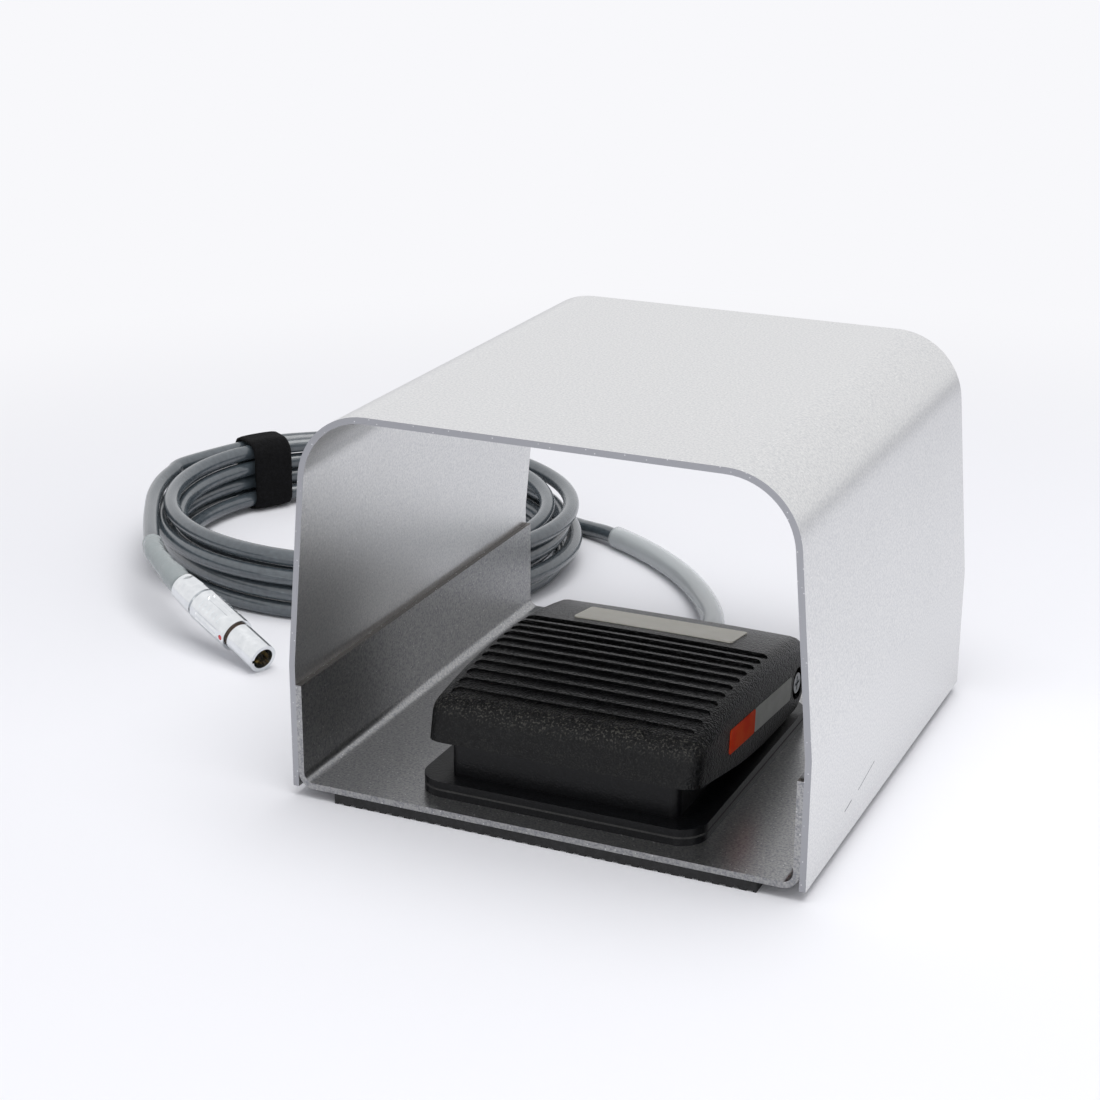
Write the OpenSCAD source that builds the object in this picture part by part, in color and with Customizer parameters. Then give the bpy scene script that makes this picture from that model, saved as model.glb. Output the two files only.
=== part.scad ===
// Guarded foot switch: a treadle switch bolted into a sheet metal tray under a folded hood.
// The frame is in millimetres: +X to the right, +Y to the back, +Z up, seen from the treadle's toe.
// The origin is on the floor, under the middle of the guard.

/* [Guard] */
// Width of the guard over the hood's side walls
guard_w = 160; // [150:1:190]
// Depth of the guard from front to back
guard_d = 161; // [156:1:200]
// Height of the hood sheet, from its lower edge to its top
hood_h = 117.5; // [105:0.5:150]
// Thickness of the hood and tray sheet
sheet_t = 1.9; // [1.5:0.1:2.3]
// Height over the lower edge at which the hood walls start to lean in
hood_bend_h = 39.2; // [37:0.2:50]
// Lean of the hood walls above that height, in degrees
hood_lean = 4.93; // [2:0.1:8]
// Outer radius of the hood's two top corners
hood_corner_r = 22; // [15:1:30]
// Height of the tray walls over the hood's lower edge
tray_wall_h = 32.8; // [25:0.2:35]
// Outer radius of the tray's two bends
tray_bend_r = 5; // [4:0.5:7]
// Width of the rubber pad under the tray
pad_w = 132; // [110:1:140]
// Thickness of the rubber pad
pad_t = 3.2; // [3:0.1:6]
// Spacing of the grooves in the pad's underside
pad_groove_pitch = 4; // [3:0.5:8]
// Depth of the grooves in the pad's underside
pad_groove_depth = 0.5; // [0.2:0.1:1]

/* [Pedal base] */
// Distance of the pedal's middle to the right of the guard's middle
pedal_shift = 1.4; // [-6:0.2:6]
// Distance of the base flange behind the tray's front edge
pedal_inset = 7.5; // [4:0.5:12]
// Width of the base flange
flange_w = 89; // [86:0.5:96]
// Length of the base flange
flange_d = 101.5; // [98:0.5:110]
// Corner radius of the base flange
flange_corner_r = 8.5; // [5:0.5:10]
// Thickness of the base flange
flange_t = 2.3; // [2:0.1:3]
// Thickness of the bottom cover
cover_t = 2.1; // [1.8:0.1:3]
// Thickness of the gasket between cover and flange
gasket_t = 0.6; // [0.4:0.1:1]
// Gap between the hollow body on the flange and the treadle's side walls
shell_gap = 4; // [3:0.1:5]
// Wall thickness of the hollow body
shell_wall = 2.2; // [1.8:0.1:2.8]

/* [Treadle] */
// Width of the treadle
treadle_w = 84.8; // [84:0.2:88]
// Height of the treadle's highest point over the flange
treadle_h = 27.9; // [27:0.1:32]
// Wall thickness of the treadle
treadle_wall = 2.4; // [2:0.1:2.6]
// Radius of the treadle's long crown
crown_r = 217; // [190:1:260]
// Radius of the rounded toe
toe_r = 9; // [8:0.5:11]
// Lean of the toe's front face, in degrees
toe_lean = 18.7; // [14:0.1:22]
// Height of the pivot over the flange
pivot_h = 9.5; // [9:0.1:12]
// Travel of the treadle, in degrees
travel_deg = 2.6; // [1.5:0.1:2.7]
// Number of grip grooves across the treadle
groove_n = 11; // [4:1:11]
// Spacing of the grip grooves
groove_pitch = 5.62; // [5:0.02:5.7]
// Width of a grip groove
groove_w = 4.3; // [3:0.1:4.8]
// Width of the label plate
label_w = 53; // [30:1:60]
// Depth of the label plate
label_d = 15; // [8:0.5:16]

/* [Switch] */
// Length of the snap switch
switch_l = 27.8; // [24:0.1:29]
// Width of the snap switch
switch_w = 10.3; // [8:0.1:11]
// Height of the snap switch
switch_h = 15.9; // [14:0.1:16]
// Diameter of the push rod
rod_d = 5; // [4:0.1:6]

/* [Cord] */
// Diameter of the cable
cable_d = 6; // [5:0.1:6.2]
// Outer diameter of the sleeve on the cable near the pedal
sleeve_d = 8.5; // [8.2:0.1:10]
// Number of turns in the coil
coil_turns = 6.29; // [6:0.01:6.6]
// Width of the strap round the coil
strap_w = 16; // [10:1:20]
// Thickness of the strap
strap_t = 1.5; // [1:0.1:2]

/* [Connector] */
// Length of the connector
plug_l = 48; // [44:0.5:54]
// Diameter of the connector's grip sleeve
grip_d = 12; // [11.6:0.1:14]
// Diameter of the connector's front barrel
barrel_d = 10.2; // [10:0.1:11]
// Bore of the connector's front barrel
barrel_bore_d = 7.5; // [6.5:0.1:8]
// Travel of the grip sleeve that unlatches the connector
grip_travel = 1; // [0.5:0.1:1.2]

/* [Hidden] */

$fn = 48;

// Clearances
fit_gap = 0.05; // running fit or thread, on the radius
seat_gap = 0.3; // between pieces that move past each other
over = 1; // overrun of a cut

// Heights of the stacked plates
floor_z = pad_t + sheet_t;
cover_z = floor_z + cover_t;
gasket_z = cover_z + gasket_t;
flange_z = gasket_z + flange_t;
hood_top_z = pad_t + hood_h;
hood_half = guard_w / 2;
tray_half = hood_half - sheet_t;
half_d = guard_d / 2;
pad_groove_share = 0.5; // groove width as a share of the pitch

// Plan of the pedal base
flange_y0 = pedal_inset - half_d;
flange_y1 = flange_y0 + flange_d;
shell_front_inset = 6.5;
shell_rear_inset = 6;
shell_y0 = flange_y0 + shell_front_inset;
shell_y1 = flange_y1 - shell_rear_inset;
shell_corner_r = 3;
shell_len = shell_y1 - shell_y0;
shell_w = treadle_w - 2 * (treadle_wall + shell_gap);
ledge_h = 4.3; // rear ledge over the flange, which stops the treadle's return

// Treadle outline
treadle_front_inset = 1.6;
treadle_rear_inset = 1.5;
treadle_y0 = flange_y0 + treadle_front_inset;
treadle_y1 = flange_y1 - treadle_rear_inset;
treadle_len = treadle_y1 - treadle_y0;
treadle_half = treadle_w / 2;
treadle_z = flange_z + treadle_h;
toe_edge_h = 11.8; // toe's lower edge over the flange
apex_share = 0.512; // place of the crown's highest point along the treadle
rear_edge_r = 4;
side_edge_r = 4.5;
plan_corner_r = 6;
heel_r = 9;
camber = 0.4; // rise of the crown from its sides to its middle
groove_deep = 1; // depth of the first groove
groove_shallow = 0.35; // depth of the last groove
groove_draw_in = 2; // how much shorter the last groove is at each end

pivot_setback = 8.6;
pivot_y = flange_y1 - pivot_setback;
pivot_z = flange_z + pivot_h;
toe_steps = 5;
crown_steps = 10;
rear_steps = 3;
heel_steps = 5;
treadle_steps = toe_steps + crown_steps + rear_steps;
// Lower edge of the skirt: share of the treadle's length, share of the toe edge's height
skirt_shares = [[0, 1], [0.135, 0.78], [0.36, 0.4], [0.54, 0.19], [0.75, 0.11], [1, 0.09]];

// Circles of the crown, the toe and the rear edge, seen from the side
crown_y = treadle_y0 + apex_share * treadle_len;
crown_z = treadle_z - crown_r;
toe_edge_z = flange_z + toe_edge_h;
face_up = [sin(toe_lean), cos(toe_lean)];
face_in = [cos(toe_lean), -sin(toe_lean)];
toe_foot = [treadle_y0, toe_edge_z] + toe_r * face_in;
toe_rel = toe_foot - [crown_y, crown_z];
toe_run = toe_rel * face_up;
toe_rest = toe_rel * toe_rel - pow(crown_r - toe_r, 2);
toe_mid = toe_foot + (sqrt(toe_run * toe_run - toe_rest) - toe_run) * face_up;
toe_beta = atan2(toe_mid[0] - crown_y, toe_mid[1] - crown_z);
rear_y = treadle_y1 - rear_edge_r;
rear_z = crown_z + sqrt(pow(crown_r - rear_edge_r, 2) - pow(rear_y - crown_y, 2));
rear_beta = atan2(rear_y - crown_y, rear_z - crown_z);
function crown_at(y) = crown_z + sqrt(crown_r * crown_r - pow(y - crown_y, 2));
function under_at(y) = crown_at(y) - treadle_wall;
function drop_at(y) = (pivot_y - y) * sin(travel_deg);
function skirt_at(y) = flange_z + toe_edge_h * lookup((y - treadle_y0) / treadle_len, skirt_shares);

// Hollow body of the base: its roof clears the pressed treadle
roof_clear = 2.75;
roof_z = under_at(crown_y) - drop_at(crown_y) - roof_clear;
// Roof line: share of the body's length, share of its height
roof_shares = [[0, 0.55], [0.1, 0.74], [0.24, 0.89], [0.41, 1], [0.84, 1], [1, 0.85]];
function roof_at(y) = gasket_z + (roof_z - gasket_z) * lookup((y - shell_y0) / shell_len, roof_shares);
ledge_z = flange_z + ledge_h;

// Screws
cover_screw_d = 3;
cover_screw_head_d = 5.6;
cover_boss_d = 7;
cover_screw_side = 7.5; // from the body's side walls
cover_screw_x = shell_w / 2 - cover_screw_side;
cover_screw_inset = 8.3; // from the body's front and rear walls
mount_screw_d = 4;
mount_screw_head_d = 8;
mount_screw_head_h = 2.3;
mount_boss_d = 8;
mount_side = 7.5; // from the body's side walls
mount_inset = 25; // from the body's front and rear walls
mount_x = shell_w / 2 - mount_side;
mount_front_y = shell_y0 + mount_inset;
mount_rear_y = shell_y1 - mount_inset;
screw_depth = 9; // thread length over the flange's underside
pad_hole_d = 10;
pivot_screw_d = 4;
pivot_thread_d = 3;
pivot_head_d = 6.6;
pivot_head_h = 1.3;
pivot_recess_d = 10.4;
pivot_recess_h = 1.6;
pivot_boss_d = 10.4;
pivot_thread_l = 6;
pivot_block = 7; // solid behind the pivot thread
boss_gap = 0.6; // between pivot boss and hollow body
slot_w = 1;
slot_h = 0.6;

// Return springs and stop bumpers
spring_x = 15;
spring_y = shell_y0 + 18.5;
spring_d = 8;
spring_wire_d = 1;
spring_turns = 6;
spring_well_floor_z = gasket_z + 6.7;
spring_well_d = 9.2;
well_wall = 1.4;
spring_stub_d = 5;
spring_stub_h = 3;
bumper_y = shell_y0 + 6.5;
bumper_d = 7;
bumper_seat = 1.2;

// Push rod and its guide
rod_y = crown_y + 1;
guide_d = 10;
guide_h = 1.2; // over the roof
guide_drop = 0.4; // under the roof's inner face
seal_h = 1.4;
seal_d = 8;
rod_boss_h = 1.1;
rod_boss_d = 5;
rod_collar_d = 6.4;
rod_collar_h = 0.5;
rod_tip_d = 2;
rod_tip_h = 0.8;
guide_top_z = roof_z + guide_h;
guide_low_z = roof_z - shell_wall - guide_drop;
rod_top_z = under_at(rod_y) - rod_boss_h - fit_gap * 4;
rod_low_z = guide_low_z - seat_gap - rod_collar_h - rod_tip_h;
rod_travel = (pivot_y - rod_y) * sin(travel_deg);

// Snap switch: the lever lies under the rod and over the button
lever_t = 0.5;
lever_w = 5;
lever_l = 24;
lever_arm = 17; // from the lever's pin to the rod
button_arm = 8; // from the lever's pin to the button
lever_pin_d = 0.9;
lever_pin_h = 0.9; // over the switch's top
lever_barrel_d = 1.6;
lever_turn = asin(rod_travel / lever_arm);
lever_spare = 0.4; // lever's slope at full travel, in degrees
lever_rest = lever_turn + lever_spare;
lever_gap = 0.12;
switch_top_z = rod_low_z - lever_gap - lever_t / 2 / cos(lever_rest) - lever_arm * tan(lever_rest) - lever_pin_h;
lever_y = rod_y + lever_arm;
button_y = lever_y - button_arm;
lever_z = switch_top_z + lever_pin_h;
switch_rear_inset = 1.6; // from the lever's pin to the switch's end
switch_y1 = lever_y + switch_rear_inset;
switch_y0 = switch_y1 - switch_l;
switch_z0 = switch_top_z - switch_h;
button_d = 2.5;
button_top_z = lever_z + button_arm * tan(lever_rest) - lever_t / 2 / cos(lever_rest) - lever_gap;
button_travel = rod_travel * button_arm / lever_arm;
button_l = 4.5;
button_hole_l = 5;
ear_t = 1.2;
ear_w = 3;
ear_h = 1.7;
hole_inset = 2.8;
switch_screw_d = 3;
switch_screw_head_d = 5.4;
switch_screw_head_h = 1.8;
bracket_t = 3.1;
bracket_gap = 0.1;
terminal_t = 0.5;
terminal_w = 3.2;
terminal_l = 6.3;
terminal_pitch = 5;
terminal_seat = 1;

// Cord entry
exit_h = 5.9; // over the flange
exit_z = flange_z + exit_h;
gland_d = 11;
gland_neck_d = 9.1;
gland_inner_flange_t = 1.5;
gland_y1 = shell_y1 + 8.5;
gland_notch_gap = 1;
cord_tail_l = 11.3; // cable inside the hollow body
clamp_y = shell_y1 - 10.5;
clamp_l = 5;
clamp_t = 1.5;
clamp_half = 10;
clamp_screw_x = 7.5;
clamp_screw_d = 2.5;
clamp_screw_head_d = 4.4;
clamp_post_w = 5;
clamp_screw_l = 7;
clamp_top_z = exit_z - cable_d / 2 - fit_gap;
wire_d = 1.5;

// Labels on the treadle
plate_t = 0.6;
plate_seat = 0.2;
plate_corner_r = 1;
plate_setback = 10.6; // from the pivot
plate_y = pivot_y - plate_setback; // middle of the label
plate_groove_gap = 6.5; // from the label to the middle of the first groove
groove_y0 = plate_y - label_d / 2 - plate_groove_gap;
sticker_t = 0.15;
sticker_h = 7.6;
sticker_red_l = 22;
sticker_grey_l = 34;
sticker_slope = -4.6;
sticker_inset = 28.5; // from the toe
sticker_rise = 15; // over the flange
sticker_y = treadle_y0 + sticker_inset;
sticker_z = flange_z + sticker_rise;

// Cord routes, in the frame's own millimetres
pedal_route = [
    [1.4, 34, 15.9], [1.4, 42, 14.8], [1, 52, 12], [0, 62, 10.2], [-3, 72, 9.8], [-7, 82, 9.4],
    [-13, 93, 6.8], [-20, 105, 4.6], [-25, 116, 4.3], [-30, 127, 4.3], [-40, 140, 4.3], [-54, 149, 4.3],
    [-65, 158, 4.3], [-76, 163, 4.3], [-82, 166, 4.2], [-91, 170, 3.5], [-101, 174, 3.1]
];
sleeve_start = 0;
sleeve_end = 14;
plug_route = [
    [-246, 121, 24.1], [-246, 110, 23.5], [-243.5, 98, 22.9], [-238.5, 86, 22.4], [-232, 74.5, 22],
    [-224.5, 62.5, 22], [-216.5, 50.5, 22], [-209, 40, 21.6], [-201.5, 31.5, 20.9]
];
coil_x = -161;
coil_y = 115;
coil_a = 83;
coil_b = 76;
coil_start_deg = 60;
coil_layers = 4;
coil_rise = 6.45; // from layer to layer
coil_step = 6.8; // between neighbouring turns at the strap
coil_spread = 3; // more than that on the far side
strap_deg = 150;
strap_lift = 2.2;
turn_rings = 24;
coil_rings = round(coil_turns * turn_rings);
coil_low_z = cable_d / 2 + fit_gap;
layer_turns = coil_turns / coil_layers;

// Connector: its axis runs from its rear to its tip
plug_tip = [-137, -3.3, 5];
plug_heading = -23;
plug_slope = 16;
plug_axis = [cos(plug_slope) * cos(plug_heading), cos(plug_slope) * sin(plug_heading), -sin(plug_slope)];
plug_rear = plug_tip - plug_l * plug_axis;
nut_l = 11.4;
nut_rear_d = 10.1;
nut_front_d = 11.3;
barrel_l = 14.2;
ring_groove_l = 0.9;
ring_groove_d = 8.6;
latch_ring_d = 9.6;
shell_tube_d = 9.4;
grip_z0 = nut_l + grip_travel + seat_gap;
grip_z1 = plug_l - barrel_l - ring_groove_l - fit_gap;
grip_bore_d = shell_tube_d + 2 * fit_gap;
barrel_bore_l = 11.5;
panel_n = 4; // ribbed panels round the grip sleeve, with two flutes between neighbours
flute_deg = 10; // from the middle between two panels to a flute
flute_d = 1.6;
flute_l = 11.3;
flute_depth = 0.4;
grip_rib_n = 6;
grip_rib_pitch = 2.1;
rib_slot_l = 0.9;
rib_slot_w = 1.25;
rib_slot_depth = 0.3;
rib_spine_w = 0.4;
pin_d = 0.9;
pin_l = 8;
pin_ring_d = 4.2;
pin_n = 6;
dot_d = 1.8;
dot_t = 0.2;
dot_turn = 272; // towards the front
dot_seat = 0.15;
shrink_d = 7.6;
shrink_flare_d = 9;
shrink_bore_d = 6.8;
sleeve_bore_gap = 0.8;
strap_turns = 1.3; // turns that lie side by side under the strap
strap_gap = 1;
strap_gap_z = 0.5;
nut_front_l = 3;
nut_back_wall = 2;
nut_flat_z = 1.5;
nut_flat_l = 6;
nut_flat_depth = 0.4;
collet_l = 3;
shell_thread_d = 8.4;
insert_d = 6.6;
insert_z0 = 14;
insert_nose = 3;
key_w = 1.2;
key_l = 6;
key_depth = 0.7;
flute_z0 = 3.8;
rib_z0 = 3.6;
pin_reach = 2.5;

// Unit vector along a
function unit(a) = a / norm(a);
// Point at x, y, z of an ellipse turn of the coil, t turns after its start
function coil_point(t) =
    let (
        turn_deg = coil_start_deg + 360 * t,
        layer = t / layer_turns,
        phase = layer - 2 * floor(layer / 2),
        inset_turns = layer_turns * (phase < 1 ? phase : 2 - phase),
        near = (1 + cos(turn_deg - strap_deg)) / 2,
        inset = inset_turns * (coil_step + coil_spread * (1 - near)),
        nearest = min(coil_layers - 1, max(1, round(layer))),
        climb = max(0, min(1, (layer - nearest) * layer_turns * 2 + 0.5)),
        z = coil_low_z + coil_rise * (nearest - 1 + climb) + strap_lift * pow(near, 4)
    )
    [coil_x + (coil_a - inset) * cos(turn_deg), coil_y + (coil_b - inset) * sin(turn_deg), z];
coil_arc = [for (i = [0 : coil_rings]) coil_point(coil_turns * i / coil_rings)];
coil_first = unit(coil_arc[1] - coil_arc[0]);
coil_last = unit(coil_arc[coil_rings] - coil_arc[coil_rings - 1]);
coil_in = coil_arc[0] - cable_d * [coil_first[0], coil_first[1], 0];
coil_out = coil_arc[coil_rings] + cable_d * [coil_last[0], coil_last[1], 0];
coil_path = concat([coil_in], coil_arc, [coil_out]);

// Direction of a path at one of its points; the two ends take the given directions
function path_dir(path, i, first, last) =
    i == 0 ? unit(first) : i == len(path) - 1 ? unit(last) : unit(path[i + 1] - path[i - 1]);
// Ring of a tube round a path point
function ring(point, dir, r, sides) =
    let (side = unit(cross(dir, [0, 0, 1])), up = cross(side, dir))
    [for (k = [0 : sides - 1]) point + r * (cos(360 * k / sides) * side + sin(360 * k / sides) * up)];

// Closed solid through a list of rings with equal counts
module loft(rings) {
    n = len(rings[0]);
    last = len(rings) - 1;
    polyhedron(
        points = [for (one = rings) each one],
        faces = concat(
            [for (k = [1 : n - 2]) [0, k + 1, k]],
            [for (k = [1 : n - 2]) [last * n, last * n + k, last * n + k + 1]],
            [for (i = [0 : last - 1], k = [0 : n - 1]) [i * n + k, i * n + (k + 1) % n, (i + 1) * n + k]],
            [for (i = [0 : last - 1], k = [0 : n - 1])
                [i * n + (k + 1) % n, (i + 1) * n + (k + 1) % n, (i + 1) * n + k]]
        )
    );
}

// Solid tube of one diameter along a path
module tube(path, d, sides, first, last) {
    loft([for (i = [0 : len(path) - 1]) ring(path[i], path_dir(path, i, first, last), d / 2, sides)]);
}

// Hollow tube: the outer skin forwards and the bore back, joined at the two ends
module hose(path, outer_ds, bore_d, sides, first, last) {
    n = len(path);
    m = 2 * n;
    skins = concat(
        [for (i = [0 : n - 1]) ring(path[i], path_dir(path, i, first, last), outer_ds[i] / 2, sides)],
        [for (i = [n - 1 : -1 : 0]) ring(path[i], path_dir(path, i, first, last), bore_d / 2, sides)]
    );
    polyhedron(
        points = [for (one = skins) each one],
        faces = concat(
            [for (i = [0 : m - 1], k = [0 : sides - 1])
                [i * sides + k, i * sides + (k + 1) % sides, ((i + 1) % m) * sides + k]],
            [for (i = [0 : m - 1], k = [0 : sides - 1])
                [i * sides + (k + 1) % sides, ((i + 1) % m) * sides + (k + 1) % sides, ((i + 1) % m) * sides + k]]
        )
    );
}

// Rectangle with round corners, from one corner to the other
module round_rect(x0, y0, x1, y1, r) {
    union() {
        translate([x0 + r, y0]) square([x1 - x0 - 2 * r, y1 - y0]);
        translate([x0, y0 + r]) square([x1 - x0, y1 - y0 - 2 * r]);
        for (x = [x0 + r, x1 - r], y = [y0 + r, y1 - r]) translate([x, y]) circle(r = r);
    }
}

// Solid with a side outline, given in y and z, across a width
module across(width) {
    rotate([90, 0, 90]) linear_extrude(height = width, center = true) children();
}

// Shape drawn in x and z, carried along the guard's depth
module along_guard(depth) {
    rotate([90, 0, 0]) linear_extrude(height = depth, center = true) children();
}

// Places the pedal's own middle
module at_pedal() {
    translate([pedal_shift, 0, 0]) children();
}

// Outline of the hood, drawn inwards from its outer face
module hood_outline(inset) {
    bend_z = pad_t + hood_bend_h;
    lean_in = tan(hood_lean);
    corner_z = hood_top_z - hood_corner_r;
    // Middle of the corner circle, which touches the leaning wall and the top
    corner_x = hood_half - lean_in * (corner_z - bend_z) - hood_corner_r / cos(hood_lean);
    r = hood_corner_r - inset;
    wall_x = corner_x + r * cos(hood_lean);
    wall_z = corner_z + r * sin(hood_lean);
    // The inset wall's own bend lies where its two straight runs meet
    inner_bend_z = bend_z - inset * tan(hood_lean / 2);
    low_z = inset > 0 ? pad_t - over : pad_t;
    union() {
        polygon([
            [-(hood_half - inset), low_z], [hood_half - inset, low_z], [hood_half - inset, inner_bend_z],
            [wall_x, wall_z], [corner_x, corner_z], [corner_x, hood_top_z - inset],
            [-corner_x, hood_top_z - inset], [-corner_x, corner_z], [-wall_x, wall_z],
            [-(hood_half - inset), inner_bend_z]
        ]);
        for (s = [-1, 1]) translate([s * corner_x, corner_z]) circle(r = r);
    }
}

module guard_hood() {
    color("#c9ccd0") difference() {
        along_guard(guard_d) hood_outline(0);
        along_guard(guard_d + 2 * over) hood_outline(sheet_t);
    }
}

// Outline of the tray's outer or inner face, open at the top
module tray_outline(inset, top_z) {
    r = tray_bend_r - inset;
    half = tray_half - inset;
    low = pad_t + inset;
    union() {
        translate([-half, low + r]) square([2 * half, top_z - low - r]);
        translate([-half + r, low]) square([2 * (half - r), r + over]);
        for (s = [-1, 1]) translate([s * (half - r), low + r]) circle(r = r);
    }
}

module base_tray() {
    top_z = pad_t + tray_wall_h;
    color("#9c9fa3") difference() {
        along_guard(guard_d) tray_outline(0, top_z);
        along_guard(guard_d + 2 * over) tray_outline(sheet_t, top_z + over);
        at_pedal() mount_places() translate([0, 0, pad_t - over])
            cylinder(d = mount_screw_d + 2 * fit_gap, h = sheet_t + 2 * over);
    }
}

// Beads of weld: one on the right seam's front end, the others in the groove under the two bends
module seam_tacks() {
    bead_r = sheet_t * 0.84;
    bead_l = 3.2;
    bead_inset = 3.5;
    groove_w = 2.6;
    under_l = 8;
    under_inset = 18;
    color("#b5b7b9") {
        translate([tray_half, -half_d + bead_inset, pad_t + tray_wall_h]) intersection() {
            rotate([90, 0, 0]) cylinder(r = bead_r, h = bead_l, center = true);
            translate([-bead_r, -bead_l, 0]) cube([bead_r, 2 * bead_l, bead_r]);
        }
        for (s = [-1, 1], e = [-1, 1]) translate([0, e * (half_d - under_inset), 0])
            along_guard(under_l) mirror([s < 0 ? 1 : 0, 0]) difference() {
                translate([tray_half - groove_w, pad_t]) square(groove_w);
                translate([tray_half - tray_bend_r, pad_t + tray_bend_r]) circle(r = tray_bend_r + fit_gap);
            }
    }
}

module rubber_pad() {
    pitches = floor(pad_w / pad_groove_pitch) - 1;
    groove_w = pad_groove_pitch * pad_groove_share;
    color("#3a3b3d") difference() {
        translate([-pad_w / 2, -half_d, 0]) cube([pad_w, guard_d, pad_t]);
        for (i = [0 : pitches]) translate([(i - pitches / 2) * pad_groove_pitch - groove_w / 2, -half_d - over, -over])
            cube([groove_w, guard_d + 2 * over, over + pad_groove_depth]);
        at_pedal() mount_places() translate([0, 0, -over]) cylinder(d = pad_hole_d, h = pad_t + 2 * over);
    }
}

// The four places where the pedal is screwed to the tray
module mount_places() {
    for (s = [-1, 1], y = [mount_front_y, mount_rear_y]) translate([s * mount_x, y, 0]) children();
}

// The four places where the cover is screwed to the base
module cover_places() {
    for (s = [-1, 1], y = [shell_y0 + cover_screw_inset, shell_y1 - cover_screw_inset])
        translate([s * cover_screw_x, y, 0]) children();
}

// A plate with the flange's outline
module flange_plate(z, t) {
    translate([0, 0, z]) linear_extrude(height = t)
        round_rect(-flange_w / 2, flange_y0, flange_w / 2, flange_y1, flange_corner_r);
}

module bottom_cover() {
    color("#1d1e20") at_pedal() difference() {
        flange_plate(floor_z, cover_t);
        mount_places() translate([0, 0, floor_z - over])
            cylinder(d = mount_screw_d + 2 * fit_gap, h = cover_t + 2 * over);
        cover_places() translate([0, 0, floor_z - over])
            cylinder(d = cover_screw_d + 2 * fit_gap, h = cover_t + 2 * over);
        cover_places() translate([0, 0, floor_z])
            countersink(cover_screw_d + 2 * fit_gap, cover_screw_head_d + 2 * fit_gap);
    }
}

// Cone of a countersunk head, wide end down
module countersink(d, head_d) {
    rise = (head_d - d) / 2;
    translate([0, 0, -fit_gap]) cylinder(d1 = head_d + 2 * fit_gap, d2 = d, h = rise + fit_gap);
}

module cover_gasket() {
    color("#4a4b4c") at_pedal() difference() {
        flange_plate(cover_z, gasket_t);
        translate([0, 0, cover_z - over]) linear_extrude(height = gasket_t + 2 * over)
            round_rect(-shell_w / 2 + shell_wall, shell_y0 + shell_wall, shell_w / 2 - shell_wall,
                shell_y1 - shell_wall, shell_corner_r);
    }
}

// Side outline of the hollow body, shrunk by a wall at its ends and roof
module shell_outline(wall, low_z) {
    top = [for (p = roof_shares) [shell_y0 + wall + p[0] * (shell_len - 2 * wall),
        gasket_z + p[1] * (roof_z - gasket_z) - wall]];
    polygon(concat([[shell_y0 + wall, low_z]], top, [[shell_y1 - wall, low_z]]));
}

module pedal_base() {
    color("#232426") at_pedal() difference() {
        union() {
            difference() {
                union() {
                    flange_plate(gasket_z, flange_t);
                    intersection() {
                        across(shell_w) shell_outline(0, gasket_z);
                        translate([0, 0, gasket_z]) linear_extrude(height = roof_z - gasket_z + over)
                            round_rect(-shell_w / 2, shell_y0, shell_w / 2, shell_y1 + shell_corner_r,
                                shell_corner_r);
                    }
                    translate([-shell_w / 2, shell_y1 - shell_wall, gasket_z])
                        cube([shell_w, flange_y1 - shell_y1 + shell_wall, ledge_z - gasket_z]);
                    translate([0, rod_y, roof_z - shell_wall]) cylinder(d = guide_d, h = shell_wall + guide_h);
                }
                across(shell_w - 2 * shell_wall) shell_outline(shell_wall, gasket_z - over);
            }
            // What stands inside reaches up to the middle of the roof's thickness
            intersection() {
                across(shell_w - shell_wall) shell_outline(shell_wall / 2, gasket_z);
                base_bosses();
            }
        }
        cover_places() screw_hole(cover_screw_d);
        mount_places() screw_hole(mount_screw_d);
        for (s = [-1, 1]) translate([s * spring_x, spring_y, spring_well_floor_z])
            cylinder(d = spring_well_d, h = roof_z);
        for (s = [-1, 1]) translate([s * spring_x, bumper_y, roof_at(bumper_y) - bumper_seat])
            cylinder(d = bumper_d + 2 * fit_gap, h = roof_z);
        translate([0, rod_y, guide_low_z - over]) cylinder(d = rod_d + 2 * fit_gap, h = roof_z);
        translate([0, rod_y, guide_top_z - seal_h]) cylinder(d = seal_d + 2 * fit_gap, h = seal_h + over);
        for (s = [-1, 1]) translate([s * (shell_w / 2 - pivot_thread_l / 2 + over / 2), pivot_y, pivot_z])
            rotate([0, 90, 0]) cylinder(d = pivot_thread_d + 2 * fit_gap, h = pivot_thread_l + over,
                center = true);
        translate([0, shell_y1 + over, exit_z]) rotate([90, 0, 0])
            cylinder(d = gland_neck_d + 2 * fit_gap, h = shell_wall + 2 * over);
        translate([-gland_d / 2 - gland_notch_gap, shell_y1, flange_z])
            cube([gland_d + 2 * gland_notch_gap, flange_y1 - shell_y1 + over, ledge_h + over]);
        switch_screw_places() rotate([0, 90, 0])
            cylinder(d = switch_screw_d + 2 * fit_gap, h = 2 * switch_w, center = true);
        for (s = [-1, 1]) translate([s * clamp_screw_x, clamp_y + clamp_l / 2, clamp_top_z - over])
            cylinder(d = clamp_screw_d + 2 * fit_gap, h = clamp_screw_l + seat_gap + over);
    }
}

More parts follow.
